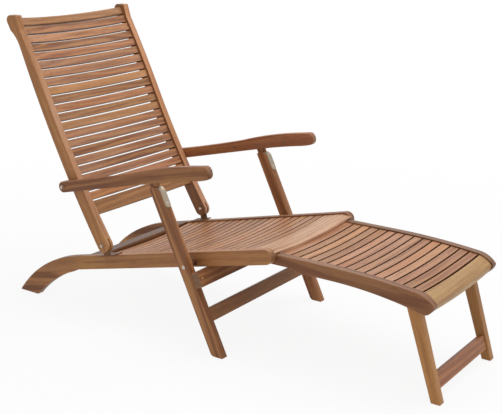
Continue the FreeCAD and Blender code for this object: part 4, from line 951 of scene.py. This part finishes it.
@dataclass
class Fasteners:
    """The screws of the hinges, and every bolt, washer, cap nut and stud."""

    bracket_heads: tuple[Point, ...] = ((-0.3707, -0.2225, 0.2070), (-0.3298, -0.2225, 0.2165))
    bracket_way: Point = (0.2267, 0.0, -0.9740)
    arm_heads: tuple[Point, ...] = ((-0.4736, -0.2445, 0.4238), (-0.4571, -0.2445, 0.4280))
    arm_way: Point = (0.0, -1.0, 0.0)
    # The spacers take the dark bronze finish as painted shade, for the shadow between the front
    # legs and the seat rails.
    bronze_and_shade_endings: tuple[str, ...] = ("spacers", "hinge_plate_left", "hinge_plate_right")

    def dress(self, dressing: Dressing) -> None:
        """Drives the screws of the hinges, and puts metal on every node that is still bare."""
        for node, heads, way, body in (
            ("back_hinge_bracket_screws", self.bracket_heads, self.bracket_way, "seat_frame"),
            ("arm_hinge_plate_screws", self.arm_heads, self.arm_way, "back"),
        ):
            places = tuple(pair for head in heads for pair in both_sides(head, way))
            screws = WoodScrew().drive(node + "_driven", places)
            finish = Hardware(Metal.BOLT).material(node + "_metal")
            dressing.stand_in(screws, node, body, finish)
        bare = [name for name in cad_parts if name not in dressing.done]
        # Painted shade on the spacers: their dark bronze darkens the gap between leg and rail; the
        # hinge plates take it as their finish.
        bronze_and_shaded = [name for name in bare if name.endswith(self.bronze_and_shade_endings)]
        dressing.metal(Metal.BRONZE, *bronze_and_shaded)
        dressing.metal(Metal.BOLT, *[name for name in bare if name not in bronze_and_shaded])


@dataclass
class Studio:
    """A white floor and backdrop, soft lights and the camera."""

    camera_place: Point = (1.745, -2.483, 1.268)
    azimuth: float = 34.73
    elevation: float = 16.44
    roll: float = 0.53
    focal_length: float = 73.13
    film_width: float = 36.0
    floor_size: float = 40.0
    floor_height: float = -0.0004
    paper: tuple[float, ...] = (0.93, 0.93, 0.94, 1.0)
    surround_light: float = 0.50
    glow: float = 0.90
    shadow_reach: float = 1.0
    white_from: float = 2.6

    def set_up(self) -> None:
        """Makes the whole studio."""
        self.make_floor()
        self.make_world()
        self.hang_lamps()
        self.place_camera()

    def make_floor(self) -> None:
        """A floor that glows white to the camera, but for some lit paper that keeps the shadow."""
        level = (0.0, 0.0, self.floor_height)
        bpy.ops.mesh.primitive_plane_add(size=self.floor_size, location=level)
        floor = bpy.context.object
        floor.name = "studio_floor"
        bench = Bench("studio_paper")
        matt = bench.node("BsdfDiffuse")
        matt.inputs["Color"].default_value = self.paper
        glow = bench.node("Emission")
        glow.inputs["Color"].default_value = WHITE
        away = bench.node("VectorMath", operation="LENGTH")
        bench.feed(away.inputs[0], bench.node("TexCoord").outputs["Object"])
        bright = bench.spread(away.outputs["Value"], self.shadow_reach, self.white_from)
        bright = bench.math("MULTIPLY_ADD", bright, 1.0 - self.glow, self.glow)
        rays = bench.node("LightPath")
        seen = bench.math("MAXIMUM", rays.outputs["Is Camera Ray"], rays.outputs["Is Glossy Ray"])
        share = bench.math("MULTIPLY", seen, bright)
        blend = bench.node("MixShader")
        bench.feed(blend.inputs["Fac"], share)
        bench.tree.links.new(matt.outputs[0], blend.inputs[1])
        bench.tree.links.new(glow.outputs[0], blend.inputs[2])
        output = bench.node("OutputMaterial")
        bench.tree.links.new(blend.outputs[0], output.inputs["Surface"])
        floor.data.materials.append(bench.material)

    def make_world(self) -> None:
        """A white surround: full white to the camera, softer as a light."""
        world = bpy.data.worlds.new("studio_surround")
        bpy.context.scene.world = world
        world.use_nodes = True
        tree = world.node_tree
        tree.nodes.clear()
        path = tree.nodes.new("ShaderNodeLightPath")
        soft = tree.nodes.new("ShaderNodeBackground")
        soft.inputs["Color"].default_value = WHITE
        soft.inputs["Strength"].default_value = self.surround_light
        white = tree.nodes.new("ShaderNodeBackground")
        white.inputs["Color"].default_value = WHITE
        white.inputs["Strength"].default_value = 1.0
        seen = tree.nodes.new("ShaderNodeMath")
        seen.operation = "MAXIMUM"
        tree.links.new(path.outputs["Is Camera Ray"], seen.inputs[0])
        tree.links.new(path.outputs["Is Glossy Ray"], seen.inputs[1])
        blend = tree.nodes.new("ShaderNodeMixShader")
        tree.links.new(seen.outputs[0], blend.inputs["Fac"])
        tree.links.new(soft.outputs[0], blend.inputs[1])
        tree.links.new(white.outputs[0], blend.inputs[2])
        output = tree.nodes.new("ShaderNodeOutputWorld")
        tree.links.new(blend.outputs[0], output.inputs["Surface"])

    def hang_lamps(self) -> None:
        """A large soft key lamp overhead, and a weak fill."""
        self.lamp("key_lamp", (0.4, 0.9, 3.6), (0.0, 0.0, 0.3), 3.0, 78.0)
        self.lamp("fill_lamp", (2.9, -2.4, 1.8), (0.0, 0.0, 0.4), 2.4, 9.0)

    def lamp(self, name: str, place: Point, aim: Point, size: float, power: float) -> None:
        """Hangs one square area lamp.

        Args:
            name: what it is called.
            place: where it hangs.
            aim: the point it faces.
            size: the length of its sides.
            power: its power in watts.
        """
        data = bpy.data.lights.new(name, "AREA")
        data.size = size
        data.energy = power
        lamp = bpy.data.objects.new(name, data)
        bpy.context.scene.collection.objects.link(lamp)
        lamp.location = place
        lamp.rotation_euler = (Vector(aim) - Vector(place)).to_track_quat("-Z", "Y").to_euler()

    def place_camera(self) -> None:
        """Puts the camera at the place, turn and lens that were fitted to the photograph."""
        turned, tilted, rolled = map(math.radians, (self.azimuth, self.elevation, self.roll))
        level = math.cos(tilted)
        view = Vector((-math.sin(turned) * level, math.cos(turned) * level, -math.sin(tilted)))
        right = Vector((math.cos(turned), math.sin(turned), 0.0))
        up = right.cross(view)
        right, up = (
            right * math.cos(rolled) + up * math.sin(rolled),
            up * math.cos(rolled) - right * math.sin(rolled),
        )
        data = bpy.data.cameras.new("photo_camera")
        data.sensor_fit = "HORIZONTAL"
        data.sensor_width = self.film_width
        data.lens = self.focal_length
        camera = bpy.data.objects.new("photo_camera", data)
        bpy.context.scene.collection.objects.link(camera)
        turn = Matrix((right, up, -view)).transposed().to_4x4()
        camera.matrix_world = Matrix.Translation(self.camera_place) @ turn
        bpy.context.scene.camera = camera


def main() -> None:
    """Builds the chair's looks and its studio."""
    logging.basicConfig(level=logging.INFO)
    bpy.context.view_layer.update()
    dressing = Dressing()
    parts = (SeatFrame(), Back(), Armrests(), FrontLegs(), Footrest(), FootrestLegs(), Fasteners())
    for part in parts:
        part.dress(dressing)
        log.info("dressed %s", type(part).__name__)
    Studio().set_up()
    bpy.context.scene.view_settings.view_transform = "Standard"


if __name__ == "__main__":
    main()
